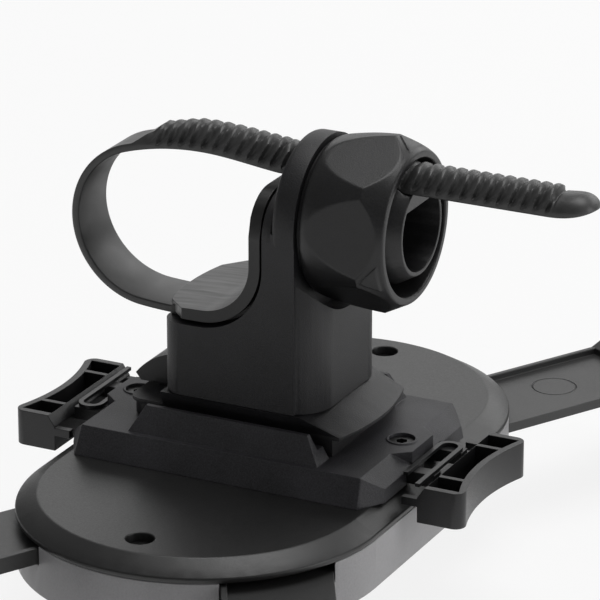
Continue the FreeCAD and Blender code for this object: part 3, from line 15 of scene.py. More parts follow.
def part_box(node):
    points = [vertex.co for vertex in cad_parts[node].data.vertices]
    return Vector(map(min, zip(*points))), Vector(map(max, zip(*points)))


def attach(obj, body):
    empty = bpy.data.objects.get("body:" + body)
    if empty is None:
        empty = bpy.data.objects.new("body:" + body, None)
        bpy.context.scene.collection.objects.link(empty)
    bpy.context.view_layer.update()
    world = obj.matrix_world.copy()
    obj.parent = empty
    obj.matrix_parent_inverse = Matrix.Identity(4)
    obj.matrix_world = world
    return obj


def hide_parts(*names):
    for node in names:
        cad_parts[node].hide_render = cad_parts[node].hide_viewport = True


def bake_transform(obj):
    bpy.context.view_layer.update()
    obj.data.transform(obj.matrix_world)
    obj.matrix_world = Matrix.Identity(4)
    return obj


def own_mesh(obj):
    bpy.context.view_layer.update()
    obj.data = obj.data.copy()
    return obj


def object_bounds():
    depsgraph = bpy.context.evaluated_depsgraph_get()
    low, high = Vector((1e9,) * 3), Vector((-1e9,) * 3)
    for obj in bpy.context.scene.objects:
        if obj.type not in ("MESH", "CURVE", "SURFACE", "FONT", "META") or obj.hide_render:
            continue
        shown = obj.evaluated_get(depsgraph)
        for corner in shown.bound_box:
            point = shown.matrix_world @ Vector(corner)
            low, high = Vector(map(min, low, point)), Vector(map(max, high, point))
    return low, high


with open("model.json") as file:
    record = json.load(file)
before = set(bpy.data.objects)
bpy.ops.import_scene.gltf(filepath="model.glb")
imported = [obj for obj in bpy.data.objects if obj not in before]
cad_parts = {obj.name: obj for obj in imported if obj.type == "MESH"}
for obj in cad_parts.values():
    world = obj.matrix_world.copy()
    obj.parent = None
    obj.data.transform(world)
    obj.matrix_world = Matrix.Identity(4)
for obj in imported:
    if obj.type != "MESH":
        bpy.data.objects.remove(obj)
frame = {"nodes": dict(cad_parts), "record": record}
cad_box = [list(v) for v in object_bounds()]
nodes = frame["nodes"]
record = frame["record"]

MM = 0.001


def low(node, letter):
    """Lower end of a CAD node's box along an axis, in mm."""
    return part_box(node)[0]["xyz".index(letter)] / MM


def high(node, letter):
    """Upper end of a CAD node's box along an axis, in mm."""
    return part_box(node)[1]["xyz".index(letter)] / MM


def middle(node, letter):
    return 0.5 * (low(node, letter) + high(node, letter))


JOINTS = {joint["name"]: joint for joint in record["behaviour"]["joints"]}
MOUNTS = {mount["name"]: mount for mount in record["mounts"]}
# The knob's axis runs along X at the height AXIS. HEAD is the face of the head disc behind the knob.
HEAD, _, AXIS = (value / MM for value in JOINTS["knob_turn"]["pos_m"])
ROD_X, _, ROD_Z = (value / MM for value in MOUNTS["rod_seat"]["pos_m"])
ROD_RADIUS = MOUNTS["rod_seat"]["dims"]["r_mm"]


# ---- shader nodes ----------------------------------------------------------------------------------

# Most values of a noise lie between these two, so its ramps go from one to the other.
NOISE_LOW = 0.32
NOISE_HIGH = 0.68


def tree_of(name):
    """A new material, its node tree and its shader."""
    material = bpy.data.materials.new(name)
    material.use_nodes = True
    tree = material.node_tree
    return material, tree, tree.nodes["Principled BSDF"]


def add(tree, kind, **values):
    item = tree.nodes.new(kind)
    for name, value in values.items():
        setattr(item, name, value)
    return item


def grey(value):
    return (value, value, value)


def place_of(tree):
    return add(tree, "ShaderNodeTexCoord").outputs["Object"]


def stretched(tree, where, scale):
    item = add(tree, "ShaderNodeMapping")
    item.inputs["Scale"].default_value = scale
    tree.links.new(where, item.inputs["Vector"])
    return item.outputs["Vector"]


def noise(tree, where, scale, detail=2.0, rough=0.5):
    item = add(tree, "ShaderNodeTexNoise")
    item.inputs["Scale"].default_value = scale
    item.inputs["Detail"].default_value = detail
    item.inputs["Roughness"].default_value = rough
    tree.links.new(where, item.inputs["Vector"])
    return item.outputs["Fac"]


def ramp(tree, value, first, last):
    """Blends from the first colour to the last as a noise rises."""
    item = add(tree, "ShaderNodeValToRGB")
    spots = (NOISE_LOW, NOISE_HIGH)
    for element, spot, colour in zip(item.color_ramp.elements, spots, (first, last)):
        element.position = spot
        element.color = (*colour, 1)
    tree.links.new(value, item.inputs["Fac"])
    return item.outputs["Color"]


def spread(tree, value, middle_grey, by):
    """A number that stays near a middle value and follows a noise."""
    return ramp(tree, value, grey(middle_grey - by), grey(middle_grey + by))


def mixed(tree, share, a, b):
    item = add(tree, "ShaderNodeMix", data_type="FLOAT")
    item.inputs[0].default_value = share
    tree.links.new(a, item.inputs[2])
    tree.links.new(b, item.inputs[3])
    return item.outputs[0]


def maths(tree, operation, *values):
    item = add(tree, "ShaderNodeMath", operation=operation)
    for socket, value in zip(item.inputs, values):
        if isinstance(value, (int, float)):
            socket.default_value = value
        else:
            tree.links.new(value, socket)
    return item.outputs[0]


def bump(tree, height, depth, strength=1.0, under=None):
    item = add(tree, "ShaderNodeBump")
    item.inputs["Strength"].default_value = strength
    item.inputs["Distance"].default_value = depth
    tree.links.new(height, item.inputs["Height"])
    if under is not None:
        tree.links.new(under, item.inputs["Normal"])
    return item.outputs["Normal"]


# ---- materials -------------------------------------------------------------------------------------

PATCH_SCALE = 90
STREAK_SCALE = 260
SKIN_SCALE = 3500
TURNED_SCALE = 2500
TURNED_DEPTH = 0.00001
MARK_DEPTH = 0.00025


def moulded(name, colour, gloss, level, grain, depth, contrast=0.3, tint=(1, 1, 1), mark=None):
    """Moulded plastic: wide faint patches and a spark-eroded grain in colour, gloss and bump."""
    material, tree, shader = tree_of(name)
    where = place_of(tree)
    fine = noise(tree, where, grain, 3, 0.6)
    both = mixed(tree, 0.6, noise(tree, where, PATCH_SCALE, 4), fine)
    dark, light = (tuple(colour * (1 + way * contrast) * t for t in tint) for way in (-1, 1))
    tree.links.new(ramp(tree, both, dark, light), shader.inputs["Base Color"])
    tree.links.new(spread(tree, fine, gloss, 0.06), shader.inputs["Roughness"])
    shader.inputs["Specular IOR Level"].default_value = level
    surface = bump(tree, fine, depth)
    if mark:
        surface = bump(tree, mark(tree, where), MARK_DEPTH, under=surface)
    tree.links.new(surface, shader.inputs["Normal"])
    return material


def rubber(name, colour, gloss, level, stretch, depth):
    """Soft moulded rubber: faint flow streaks and a smooth skin."""
    material, tree, shader = tree_of(name)
    where = place_of(tree)
    lines = noise(tree, stretched(tree, where, stretch), STREAK_SCALE, 4, 0.6)
    fine = noise(tree, where, SKIN_SCALE, 2)
    streaky = ramp(tree, lines, grey(colour * 0.7), grey(colour * 1.3))
    tree.links.new(streaky, shader.inputs["Base Color"])
    tree.links.new(spread(tree, lines, gloss, 0.07), shader.inputs["Roughness"])
    shader.inputs["Specular IOR Level"].default_value = level
    streaks = bump(tree, lines, depth, 0.6)
    tree.links.new(bump(tree, fine, depth * 0.4, 0.6, streaks), shader.inputs["Normal"])
    return material


def metal(name, dark, light, gloss):
    """Machined or blackened steel with a fine turned grain."""
    material, tree, shader = tree_of(name)
    where = place_of(tree)
    shader.inputs["Metallic"].default_value = 1.0
    fine = noise(tree, where, TURNED_SCALE, 3)
    tree.links.new(ramp(tree, fine, grey(dark), grey(light)), shader.inputs["Base Color"])
    tree.links.new(spread(tree, fine, gloss, 0.07), shader.inputs["Roughness"])
    tree.links.new(bump(tree, fine, TURNED_DEPTH, 0.5), shader.inputs["Normal"])
    return material


def ejector_ring(tree, where):
    """Height of the round mould mark on each arm: a groove about a point on its middle line.

    The point lies at a reach and an angle from the holder's middle, the same in all four quarters.
    """
    reach, angle = 0.0605, math.radians(61.5)
    radius, half_width = 0.0038, 0.00022
    split = add(tree, "ShaderNodeSeparateXYZ")
    tree.links.new(where, split.inputs[0])
    squares = []
    for socket, centre in zip(split.outputs, (reach * math.cos(angle), reach * math.sin(angle))):
        aside = maths(tree, "SUBTRACT", maths(tree, "ABSOLUTE", socket), centre)
        squares.append(maths(tree, "MULTIPLY", aside, aside))
    apart = maths(tree, "SQRT", maths(tree, "ADD", *squares))
    off = maths(tree, "ABSOLUTE", maths(tree, "SUBTRACT", apart, radius))
    return maths(tree, "MINIMUM", maths(tree, "DIVIDE", off, half_width), 1.0)


COOL = (0.99, 0.97, 1.1)
COARSE = {"grain": 4300, "depth": 0.00005, "contrast": 0.8}
FINE = {"grain": 4200, "depth": 0.000012}
BODY = moulded("body_plastic", 0.012, gloss=0.5, level=0.5, tint=COOL, **COARSE)
DOCK = moulded("dock_plastic", 0.032, gloss=0.52, level=0.45, tint=COOL, **COARSE)
KNOB = moulded("knob_plastic", 0.0105, 0.4, 0.5, 3800, 0.00002, 0.6, tint=(0.99, 0.98, 1.05))
COVER = moulded("cover_plastic", 0.011, gloss=0.42, level=0.62, **FINE)
TRAY = moulded("tray_silver", 0.36, 0.42, 0.5, 3000, 0.00001, 0.12, tint=(1.0, 0.985, 1.01))
ARM = moulded("arm_plastic", 0.03, gloss=0.45, level=0.6, mark=ejector_ring, **FINE)
STRAP = rubber("strap_rubber", 0.05, gloss=0.42, level=0.55, stretch=(1, 1, 1), depth=0.00001)
RUBBER = rubber("liner_rubber", 0.014, gloss=0.37, level=0.5, stretch=(0.35, 5, 1), depth=0.000025)
STEEL = metal("machined_steel", 0.42, 0.6, gloss=0.35)
BLACK_STEEL = metal("blackened_steel", 0.02, 0.05, gloss=0.4)
ACETAL = moulded("acetal", 0.55, 0.5, 0.5, 3000, 0.00001, 0.05)

LOOK = {
    "charcoal": BODY,
    "satin_black": KNOB,
    "shell_grey": COVER,
    "shell_silver": TRAY,
    "arm_grey": ARM,
    "strap_black": STRAP,
    "rubber_black": RUBBER,
    "steel": STEEL,
    "black_steel": BLACK_STEEL,
    "scroll_plastic": ACETAL,
}
# The dock is paler than the other pieces of its slot.
OWN_LOOK = {"dock": DOCK}


# ---- finish of the CAD pieces ----------------------------------------------------------------------

# Widths of the rounded edges: by material slot, and for the nodes that differ from their slot.
EDGE = {
    "charcoal": 0.3,
    "satin_black": 0.35,
    "shell_grey": 0.25,
    "shell_silver": 0.25,
    "arm_grey": 0.35,
    "rubber_black": 0.5,
}
OWN_EDGE = {"index_lever": 1.1, "button_right": 0.4, "button_left": 0.4}
WELD_DISTANCE = 0.002
COPLANAR = math.radians(0.4)


def edge_round(obj, width, angle=28):
    """Rounds the edges that turn by more than an angle in degrees."""
    edge = obj.modifiers.new("edge", "BEVEL")
    edge.width = width * MM
    edge.segments = 3
    edge.limit_method = "ANGLE"
    edge.angle_limit = math.radians(angle)
    edge.harden_normals = True
    edge.use_clamp_overlap = True


def soften(obj, width):
    """Joins the coplanar triangles of a CAD mesh and rounds its edges."""
    weld = obj.modifiers.new("weld", "WELD")
    weld.merge_threshold = WELD_DISTANCE * MM
    flat = obj.modifiers.new("flat", "DECIMATE")
    flat.decimate_type = "DISSOLVE"
    flat.angle_limit = COPLANAR
    edge_round(obj, width)


def finish_nodes():
    """Gives every CAD piece its material and, where one is set for it, rounded edges."""
    for row in record["subparts"]:
        item = nodes[row["node"]]
        item.data.materials.clear()
        item.data.materials.append(OWN_LOOK.get(row["node"], LOOK[row["material_slot"]]))
        width = OWN_EDGE.get(row["node"], EDGE.get(row["material_slot"]))
        if width:
            soften(item, width)


# ---- mesh helpers ----------------------------------------------------------------------------------

# Points closer than this many metres are joined.
DOUBLES = 1e-7


def mesh_piece(name, points, faces, material, crease):
    """A smooth piece from points in mm; edges sharper than the crease angle stay sharp."""
    data = bpy.data.meshes.new(name)
    data.from_pydata([tuple(c * MM for c in p) for p in points], [], faces)
    work = bmesh.new()
    work.from_mesh(data)
    bmesh.ops.remove_doubles(work, verts=work.verts, dist=DOUBLES)
    bmesh.ops.recalc_face_normals(work, faces=work.faces)
    work.to_mesh(data)
    work.free()
    for face in data.polygons:
        face.use_smooth = True
    data.set_sharp_from_angle(angle=math.radians(crease))
    obj = bpy.data.objects.new(name, data)
    bpy.context.scene.collection.objects.link(obj)
    data.materials.append(material)
    return obj


def skin(name, rings, material, crease, caps=True):
    """A surface through a list of closed point rings of equal length."""
    count = len(rings[0])
    faces = []
    for i in range(len(rings) - 1):
        for j in range(count):
            k = (j + 1) % count
            faces.append((i * count + j, i * count + k, (i + 1) * count + k, (i + 1) * count + j))
    if caps:
        faces.append(tuple(range(count)))
        last = (len(rings) - 1) * count
        faces.append(tuple(reversed(range(last, last + count))))
    return mesh_piece(name, [p for ring in rings for p in ring], faces, material, crease)


def clamped(value, most=1.0):
    return min(most, max(0.0, value))


def ease(value, start, end):
    """Rises smoothly from 0 to 1 as a value goes from start to end."""
    t = clamped((value - start) / (end - start))
    return t * t * (3 - 2 * t)


def between(a, b, share):
    return a + (b - a) * share


def steps(start, end, count):
    """Numbers from start to end, both included, in equal steps."""
    return [between(start, end, n / count) for n in range(count + 1)]


def soft_min(a, b, soft):
    """Smaller of two numbers with a rounded change-over."""
    h = clamped(0.5 + 0.5 * (b - a) / soft)
    return between(b, a, h) - soft * h * (1 - h)


# ---- knob ------------------------------------------------------------------------------------------
# A place on the knob is u, its distance in front of the head's face, and a turn from the top.

KNOB_BACK = low("knob", "x") - HEAD
KNOB_FRONT = high("knob", "x") - HEAD
KNOB_WAIST = 11.2
# The dome's radius: at its back, at the waist, where its two slopes meet in a ridge, and in front.
KNOB_TAIL = 12.98
KNOB_RIDGE = 14.75
KNOB_NOSE = 12.6
DOME_BOW = 0.9
# Six facets cut the dome. Their distance from the axis is measured at the waist.
SIXTH = math.radians(60)
KNOB_FLAT = 13.2
KNOB_LEAN = math.tan(math.radians(1))
KNOB_TURNED = math.radians(7)
FACET_SOFT = 0.1
# The outside ends at KNOB_EDGE, in front of a recessed neck, and both its rims are rounded.
KNOB_EDGE = KNOB_BACK + 0.45
BACK_ROUND = 2.0
FRONT_ROUND = 0.4
ROUND_DEPTH = 0.3
KNOB_BORE = 11.4
BORE_START = 2.2
KNOB_SIDES = 720
# Raised triangles on the front slope, from their point forward to their base.
PAD_APEX = 11.5
PAD_BASE = 14.6
PAD_SPREAD = math.radians(12.5)
PAD_RISE = 0.22
PAD_SLOPE = 0.3


def pad_rise(u, turn):
    """Raised triangle on every second corner of the knob's front."""
    apart = (turn - KNOB_TURNED + SIXTH) % (2 * SIXTH) - SIXTH
    share = (u - PAD_APEX) / (PAD_BASE - PAD_APEX)
    if not 0 < share < 1:
        return 0.0
    aside = (PAD_SPREAD * share - abs(apart)) * KNOB_RIDGE
    return PAD_RISE * ease(min(aside, PAD_BASE - u), 0.0, PAD_SLOPE)


def knob_radius(u, turn):
    """Radius of the knob's outside."""
    if u < KNOB_WAIST:
        t = (u - KNOB_BACK) / (KNOB_WAIST - KNOB_BACK)
        dome = between(KNOB_TAIL, KNOB_RIDGE, t) + DOME_BOW * t * (1 - t)
    else:
        dome = between(KNOB_RIDGE, KNOB_NOSE, (u - KNOB_WAIST) / (KNOB_FRONT - KNOB_WAIST))
    apart = (turn - KNOB_TURNED) % SIXTH - SIXTH / 2
    flat = (KNOB_FLAT - (u - KNOB_WAIST) * KNOB_LEAN) / math.cos(apart)
    back = max(0.0, KNOB_EDGE + BACK_ROUND - u) / BACK_ROUND
    front = max(0.0, u - KNOB_FRONT + FRONT_ROUND) / FRONT_ROUND
    rounding = sum(ROUND_DEPTH * (1 - math.sqrt(1 - rim**2)) for rim in (back, front))
    return soft_min(dome, flat, FACET_SOFT) + pad_rise(u, turn) - rounding


def make_knob():
    """Domed six-sided knob with a rounded front rim, raised triangles and a wide bore."""
    turns = [2 * math.pi * j / KNOB_SIDES for j in range(KNOB_SIDES)]

    def ring(u, radii):
        return [(HEAD + u, r * math.sin(a), AXIS + r * math.cos(a)) for r, a in zip(radii, turns)]

    def round_ring(u, radius):
        return ring(u, [radius] * KNOB_SIDES)

    # The bore's rounded mouth, as depths behind the front and radii over the bore's.
    mouth = ((0.4, 0.0), (0.2, 0.05), (0.06, 0.14), (0.0, 0.25))
    rings = [round_ring(BORE_START, KNOB_BORE)]
    rings += [round_ring(KNOB_FRONT - depth, KNOB_BORE + wider) for depth, wider in mouth]
    # The outside's rings lie closer together over its rims and over the ridge at the waist.
    lines = [KNOB_FRONT - FRONT_ROUND * t**2 for t in steps(0, 1, 7)]
    lines += steps(KNOB_FRONT - 0.5, KNOB_WAIST + 0.3, 24)
    lines += steps(KNOB_WAIST + 0.2, KNOB_WAIST - 0.5, 10)
    lines += steps(KNOB_WAIST - 0.8, KNOB_EDGE + BACK_ROUND + 0.1, 26)
    lines += [KNOB_EDGE + BACK_ROUND * t**2 for t in steps(1, 0, 12)]
    rings += [ring(u, [knob_radius(u, a) for a in turns]) for u in lines]
    # The recessed neck and the step in to the bore, as u and radius.
    neck = ((KNOB_EDGE, 12.5), (KNOB_BACK, 12.48), (KNOB_BACK, 12.4), (2.0, 12.35), (2.1, 11.7))
    rings += [round_ring(u, radius) for u, radius in neck]
    rings.append(rings[0])
    knob = skin("knob_shell", rings, KNOB, crease=28, caps=False)
    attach(knob, "knob")
    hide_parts("knob")


# ---- strap -----------------------------------------------------------------------------------------

STRAP_FLOOR = low("strap_tail", "z")
NIB_END = high("strap_tail", "x") - 0.4
BAND_THICK = 1.3
# Half the strap's width: along the bar, and at the anchor, where the band is widest.
STRAP_HALF = 4.1
FOOT_HALF = 6.0
# How far the band's end at the anchor is moved from the path. The move fades out towards the bar.
FOOT_SHIFT = Vector((0.95, 0, 0.7))
# The path goes over the anchor pin, out of the housing, round the loop and over the arch.
ANCHOR = Vector((middle("strap_anchor_pin", "x"), 0, middle("strap_anchor_pin", "z")))
EYE_RISE = Vector((0, 0, 2.25))
LEAD_OUT = 0.8
LOOP_CENTRE = Vector((-20.3, 0, AXIS - 5.95))
LOOP_RADIUS = 13.5
ARCH_RADIUS = 46.65
ARCH_TOP = -10.5
ARCH_END = 4.0
TIP_CURL = 0.024
# The band thickens over a ramp to the bar's first height. Between two places along X, the bar goes
# over to each further height.
RAMP_LENGTH = 5.2
BAR_START = -18.0
START_HEIGHT = 3.6
NEXT_HEIGHTS = ((BAR_START, -11.0, 4.3), (-11.0, ARCH_END, 4.65), (ARCH_END, ARCH_END + 1.6, 4.2))
# The bar's lower corners, and the upright side under its round top.
CORNER = 0.25
MARGIN = 0.55
# Ribs: their span, and the depth of the cut between two and the share of a pitch that it leaves
# uncut, low on the sides and near the crest.
FIRST_RIB = -20.4
LAST_RIB = 51.6
RIB_PITCH = 2.1
RIB_LEAN = math.tan(math.radians(15))
RIB_FADE = 2.4
SIDE_CUT = 0.8
CREST_CUT = 0.6
SIDE_LAND = 0.55
CREST_LAND = 0.12
CREST_SHIFT = 0.12
# Shares of the way up the bar over which the ribs change: the cut begins at their roots, the land
# gets narrower, the cut gets shallower and the scoops go over into a wave.
ROOT_SPAN = (0.02, 0.25)
LAND_SPAN = (0.05, 0.6)
SHALLOW_SPAN = (0.6, 1.0)
WAVE_SPAN = (0.72, 0.97)
# The smooth nib after the last rib.
NIB_HEIGHT = 3.1
NIB_START = LAST_RIB + 0.7


def strap_path():
    """Middle line of the band from the anchor round the loop, over the arch and out to the tip."""
    eye = ANCHOR + EYE_RISE
    lead = Vector((low("saddle_housing", "x") - LEAD_OUT, 0, eye.z))
    # A wide arc leaves the lead level and runs into the loop's circle without a kink.
    across = lead.x - LOOP_CENTRE.x
    drop = LOOP_CENTRE.z - lead.z
    wide = (across**2 + drop**2 - LOOP_RADIUS**2) / (2 * (drop - LOOP_RADIUS))
    wide_centre = lead + Vector((0, 0, wide))
    meet = math.atan2(LOOP_CENTRE.z - wide_centre.z, LOOP_CENTRE.x - wide_centre.x) % (2 * math.pi)
    reach = ARCH_RADIUS - LOOP_RADIUS
    tip_in = math.asin((ARCH_TOP - LOOP_CENTRE.x) / reach)
    arch_centre = LOOP_CENTRE - Vector((-math.sin(tip_in), 0, math.cos(tip_in))) * reach
    up, down = math.pi / 2, 1.5 * math.pi

    def on(centre, radius, angle):
        return centre + Vector((math.cos(angle), 0, math.sin(angle))) * radius

    points = [eye + (lead - eye) * t for t in steps(0, 1, 8)[:-1]]
    points += [on(wide_centre, wide, a) for a in steps(down, meet, 24)[:-1]]
    points += [on(LOOP_CENTRE, LOOP_RADIUS, a) for a in steps(meet, up + tip_in, 130)[:-1]]
    points += [on(arch_centre, ARCH_RADIUS, a) for a in steps(up + tip_in, up, 90)[:-1]]
    level = STRAP_FLOOR + BAND_THICK / 2
    fall = points[-1].z - level
    for x in steps(ARCH_TOP, NIB_END - 0.02, 460):
        t = clamped((ARCH_END - x) / (ARCH_END - ARCH_TOP))
        rise = fall * 0.5 * (t * (2 - t) + math.sin(t * math.pi / 2) ** 2)
        rise += TIP_CURL * max(0.0, x - LAST_RIB + 0.6) ** 2
        points.append(Vector((x, 0, level + rise)))
    return points


def strap_height(x):
    """Height of the half-round bar over its flat underside."""
    body = START_HEIGHT
    for first, last, height in NEXT_HEIGHTS:
        body = between(body, height, ease(x, first, last))
    tip = clamped((x - NIB_START) / (NIB_END - NIB_START))
    nib = NIB_HEIGHT * math.sqrt(1 - tip**4)
    return between(body, nib, ease(x, LAST_RIB - 0.1, LAST_RIB + 0.6))


def rib_cut(x, k, height):
    """Depth of the cut between slanted ribs, at a point k of the way up the bar.

    Low on the sides, scoops that start steeply and rise gently towards the tip lie between flat
    lands. Near the crest the cut goes over into a wave with sharp troughs and round tops.
    """
    along = (x + (1 - k) * (height - MARGIN) * RIB_LEAN - LAST_RIB) / RIB_PITCH
    if along > 1.0 or x < FIRST_RIB:
        return 0.0
    after = along % 1.0
    land = between(SIDE_LAND, CREST_LAND, ease(k, *LAND_SPAN))
    scoop = math.sin(math.pi * min(1.0, after / (1 - land)) ** 0.5)
    wave = 1 - math.sin(math.pi * ((after - CREST_SHIFT) % 1.0) ** 1.25)
    shape = between(scoop, wave, ease(k, *WAVE_SPAN))
    if along > 0.0:  # in front of the last rib, where the cut fades out
        shape *= 1 - ease(along, 0.12, 0.5)
    depth = between(SIDE_CUT, CREST_CUT, ease(k, *SHALLOW_SPAN)) * ease(k, *ROOT_SPAN)
    return depth * shape * ease(x, FIRST_RIB, FIRST_RIB + RIB_FADE)


def strap_section(x, height, cut, half):
    """Half outline of the section, from the underside's middle to the crest, as (y, z) pairs.

    The section is that of a half-round bar of this height, cut off flat at the height called cut.
    """
    corner = min(CORNER, 0.4 * cut)
    margin = min(MARGIN, 0.45 * height)
    rows = [(0.0, 0.0), (half - corner, 0.0)]
    for angle in (30, 60):
        turn = math.radians(angle)
        rows.append((half - corner * (1 - math.sin(turn)), corner * (1 - math.cos(turn))))
    rows.append((half, corner))
    top = math.asin(clamped((cut - margin) / max(1e-6, height - margin)))
    for angle in steps(0, top, 20):
        y, z = half * math.cos(angle), margin + (height - margin) * math.sin(angle)
        across, up = math.cos(angle) / half, math.sin(angle) / max(0.2, height - margin)
        long = math.hypot(across, up)
        depth = rib_cut(x, math.sin(angle), height)
        rows.append((y - depth * across / long, z - depth * up / long))
    edge = rows[-1]
    rows += [(edge[0] * share, edge[1]) for share in (0.66, 0.33, 0.0)]
    return rows


def make_strap():
    """The whole strap: smooth band, sloped flat where the ribs start, ribbed bar and nib."""
    points = strap_path()
    start = next(i for i, p in enumerate(points) if p.z > AXIS and p.x > BAR_START)
    # Length of the path from each point of the band to the bar's start.
    to_bar = [0.0] * len(points)
    for i in range(start - 1, -1, -1):
        to_bar[i] = to_bar[i + 1] + (points[i + 1] - points[i]).length
    rings = []
    for i, p in enumerate(points):
        before, after = points[max(i - 1, 0)], points[min(i + 1, len(points) - 1)]
        ahead = (after - before).normalized()
        out = Vector((-ahead.z, 0, ahead.x))
        if i < start:
            height = START_HEIGHT
            thickened = max(0.0, 1 - to_bar[i] / RAMP_LENGTH)
            cut = BAND_THICK + (height - BAND_THICK) * thickened**1.2
        else:
            height = strap_height(p.x)
            cut = height
        tip = max(0.0, (p.x - LAST_RIB) / (NIB_END - LAST_RIB))
        near_foot = to_bar[i] / to_bar[0]
        half = between(STRAP_HALF, FOOT_HALF, near_foot) * math.sqrt(1 - tip**4)
        p = p + FOOT_SHIFT * near_foot
        # The ribs lie above the knob's axis; below it the loop has none, whatever its x.
        rows = strap_section(p.x if p.z > AXIS else FIRST_RIB - 1, height, cut, half)
        outline = rows + [(-y, z) for y, z in reversed(rows[1:-1])]
        rings.append(
            [tuple(p + out * (z - BAND_THICK / 2) + Vector((0, y, 0))) for y, z in outline]
        )
    strap = skin("strap", rings, STRAP, crease=32)
    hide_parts("strap_band", "strap_tail")
    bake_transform(strap)


# ---- release springs -------------------------------------------------------------------------------


def make_hairpins():
    """Springs behind the buttons, as pieces of their own that move with the cradle."""
    for side, inner in (("right", low), ("left", high)):
        node = f"release_spring_{side}"
        data = nodes[node].data.copy()
        data.transform(nodes[node].matrix_world)
        piece = bpy.data.objects.new(f"hairpin_{side}", data)
        bpy.context.scene.collection.objects.link(piece)
        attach(piece, "cradle")
        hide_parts(node)
        inner(node, "x") * MM
        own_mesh(piece)


# ---- liner -----------------------------------------------------------------------------------------

LINER_TOP = high("liner", "z")
LINER_HALF = high("liner", "y") + 0.9
LINER_LEFT = low("liner", "x") + 1.0
LINER_THICK = 2.05
LINER_EDGE = 0.4
# The left end: how far it drops, how far its middle bows out, and the bevels of its corners.
LINER_DROP = 0.5
LINER_BULGE = 1.2
LINER_BEVEL = 3.7
# Radius of the upper end's shoulders.
SHOULDER = 7.0
# The foot under the seat: its half width, how far it starts behind the seat's bowed end, and how
# much thinner it is on the rod's side and thicker on the housing's.
UNDER_HALF = 10.0
UNDER_IN = 0.5
UNDER_INNER = 1.0
UNDER_OUTER = 0.6


def make_liner():
    """Rubber saddle with a bowed left end and round shoulders, on a slightly smaller foot."""
    end = LINER_LEFT + LINER_BULGE
    narrow = LINER_HALF - LINER_BEVEL
    bow = (narrow**2 + LINER_BULGE**2) / (2 * LINER_BULGE)

    def left_end(y):
        if abs(y) > narrow:
            return end + abs(y) - narrow
        return LINER_LEFT + bow - math.sqrt(bow**2 - y**2)

    def top_end(y):
        beyond = clamped(abs(y) - (LINER_HALF - SHOULDER), SHOULDER)
        return LINER_TOP - SHOULDER + math.sqrt(SHOULDER**2 - beyond**2)

    def line(radius, y, left, top, drop=0.0):
        """A line along the rubber: level from its left end, round under the rod, and upright."""
        level = ROD_Z - radius
        rows = [
            (x, y, level - drop * ((ROD_X - x) / (ROD_X - LINER_LEFT)) ** 1.5)
            for x in steps(left, ROD_X, 8)[:-1]
        ]
        for angle in steps(1.5 * math.pi, 2 * math.pi, 40):
            rows.append((ROD_X + radius * math.cos(angle), y, ROD_Z + radius * math.sin(angle)))
        rows += [(ROD_X + radius, y, z) for z in steps(ROD_Z, top, 16)[1:]]
        return rows

    def sheet(name, inner, outer, half, left_at, top_at, drop=0.0):
        across = [y for y in steps(-half, half, 30) + [-narrow, narrow] if abs(y) <= half]
        rings = []
        for y in sorted({round(y, 4) for y in across}):
            left, top = left_at(y), top_at(y)
            upper = line(inner, y, left, top, drop)
            lower = line(outer, y, left, top)
            rings.append(upper + list(reversed(lower)))
        return skin(name, rings, RUBBER, crease=40)

    outer = ROD_RADIUS + LINER_THICK
    seat = sheet("liner_seat", ROD_RADIUS, outer, LINER_HALF, left_end, top_end, LINER_DROP)
    edge_round(seat, LINER_EDGE, 40)
    foot = sheet(
        "liner_foot", ROD_RADIUS + UNDER_INNER, outer + UNDER_OUTER, UNDER_HALF,
        lambda y: end + UNDER_IN, lambda y: LINER_TOP - SHOULDER,
    )
    for piece in (seat, foot):
        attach(piece, "cradle")
    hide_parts("liner")


# ---- floor, light and camera -----------------------------------------------------------------------

FLOOR_HALF = 6.0
FLOOR_GLOW = 0.85
ROOM_LIGHT = 0.19
# Place, size and power of each lamp. All of them point at LAMP_TARGET.
LAMPS = {
    "back_left": ((-0.5, 0.85, 0.42), (0.65, 0.45), 1.15),
    "back_right": ((0.2, 0.85, 0.42), (0.7, 0.45), 2.0),
    "top_soft": ((0.05, 0.2, 0.8), (0.6, 0.4), 3.0),
    "right_soft": ((0.8, 0.1, 0.25), (0.3, 0.5), 1.5),
}
LAMP_TARGET = (0, 0, 0.045)
CAMERA_PLACE = (0.30681, -0.60522, 0.30691)
CAMERA_AZIMUTH = math.radians(26.44)
CAMERA_ELEVATION = math.radians(20.89)
# Focal length and width of the sensor, in mm.
CAMERA_LENS = 264.66
CAMERA_SENSOR = 36


def seen_by(tree, *kinds):
    """One where the ray is of one of these kinds, such as Is Camera Ray."""
    path = add(tree, "ShaderNodeLightPath")
    value = path.outputs[kinds[0]]
    for kind in kinds[1:]:
        value = maths(tree, "MAXIMUM", value, path.outputs[kind])
    return value


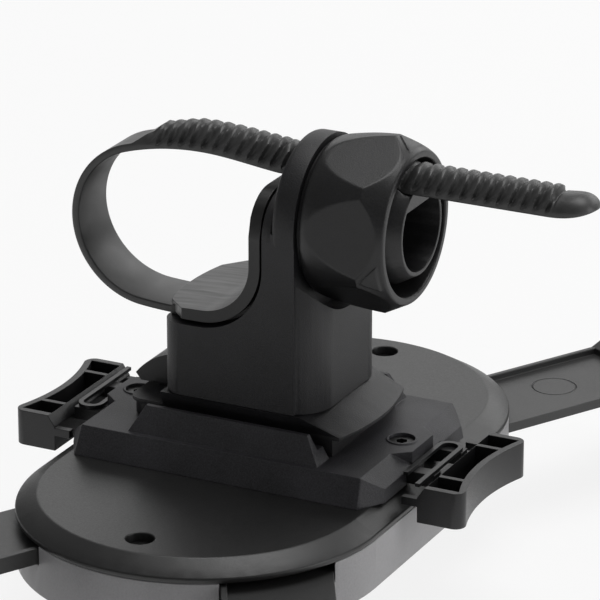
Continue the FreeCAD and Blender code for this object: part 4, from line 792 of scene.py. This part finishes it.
def make_floor():
    """Pale floor that mostly glows by itself to the camera and in reflections."""
    level, half = cad_box[0][2], FLOOR_HALF
    corners = [(-half, -half, level), (half, -half, level), (half, half, level), (-half, half, level)]
    data = bpy.data.meshes.new("floor")
    data.from_pydata(corners, [], [(0, 1, 2, 3)])
    floor = bpy.data.objects.new("floor", data)
    bpy.context.scene.collection.objects.link(floor)
    material, tree, shader = tree_of("pale_floor")
    shader.inputs["Base Color"].default_value = (0.88, 0.88, 0.88, 1)
    shader.inputs["Roughness"].default_value = 0.9
    shader.inputs["Specular IOR Level"].default_value = 0.1
    glow = add(tree, "ShaderNodeEmission")
    mix = add(tree, "ShaderNodeMixShader")
    seen = seen_by(tree, "Is Camera Ray", "Is Glossy Ray", "Is Transmission Ray")
    tree.links.new(maths(tree, "MULTIPLY", seen, FLOOR_GLOW), mix.inputs["Fac"])
    tree.links.new(shader.outputs[0], mix.inputs[1])
    tree.links.new(glow.outputs[0], mix.inputs[2])
    tree.links.new(mix.outputs[0], tree.nodes["Material Output"].inputs["Surface"])
    data.materials.append(material)


def make_world():
    """Dim even room light that the camera sees as plain white."""
    world = bpy.data.worlds.new("studio")
    bpy.context.scene.world = world
    world.use_nodes = True
    tree = world.node_tree
    plain = tree.nodes["Background"]
    plain.inputs["Color"].default_value = (1, 1, 1, 1)
    plain.inputs["Strength"].default_value = ROOM_LIGHT
    bright = add(tree, "ShaderNodeBackground")
    bright.inputs["Color"].default_value = (1, 1, 1, 1)
    mix = add(tree, "ShaderNodeMixShader")
    tree.links.new(seen_by(tree, "Is Camera Ray", "Is Transmission Ray"), mix.inputs["Fac"])
    tree.links.new(plain.outputs[0], mix.inputs[1])
    tree.links.new(bright.outputs[0], mix.inputs[2])
    tree.links.new(mix.outputs[0], tree.nodes["World Output"].inputs["Surface"])


def make_lamps():
    """Soft area lamps behind, above and to the right of the holder."""
    for name, (place, size, power) in LAMPS.items():
        data = bpy.data.lights.new(name, "AREA")
        data.shape = "RECTANGLE"
        data.size, data.size_y = size
        data.energy = power
        item = bpy.data.objects.new(name, data)
        bpy.context.scene.collection.objects.link(item)
        item.location = place
        aim = Vector(LAMP_TARGET) - Vector(place)
        item.rotation_euler = aim.to_track_quat("-Z", "Y").to_euler()


def make_camera():
    """Camera in front of the holder, to its right and above it."""
    view = bpy.data.cameras.new("photo_view")
    view.lens = CAMERA_LENS
    view.sensor_width = CAMERA_SENSOR
    view.clip_start = 0.01
    camera = bpy.data.objects.new("photo_view", view)
    bpy.context.scene.collection.objects.link(camera)
    across, along = math.cos(CAMERA_AZIMUTH), math.sin(CAMERA_AZIMUTH)
    right = Vector((across, along, 0))
    back = Vector((along, -across, 0)) * math.cos(CAMERA_ELEVATION)
    back.z = math.sin(CAMERA_ELEVATION)
    turn = Matrix((right, back.cross(right), back)).transposed().to_4x4()
    camera.matrix_world = Matrix.Translation(CAMERA_PLACE) @ turn
    bpy.context.scene.camera = camera


finish_nodes()
make_knob()
make_strap()
make_hairpins()
make_liner()
make_floor()
make_world()
make_lamps()
make_camera()
bpy.context.scene.view_settings.view_transform = "Standard"
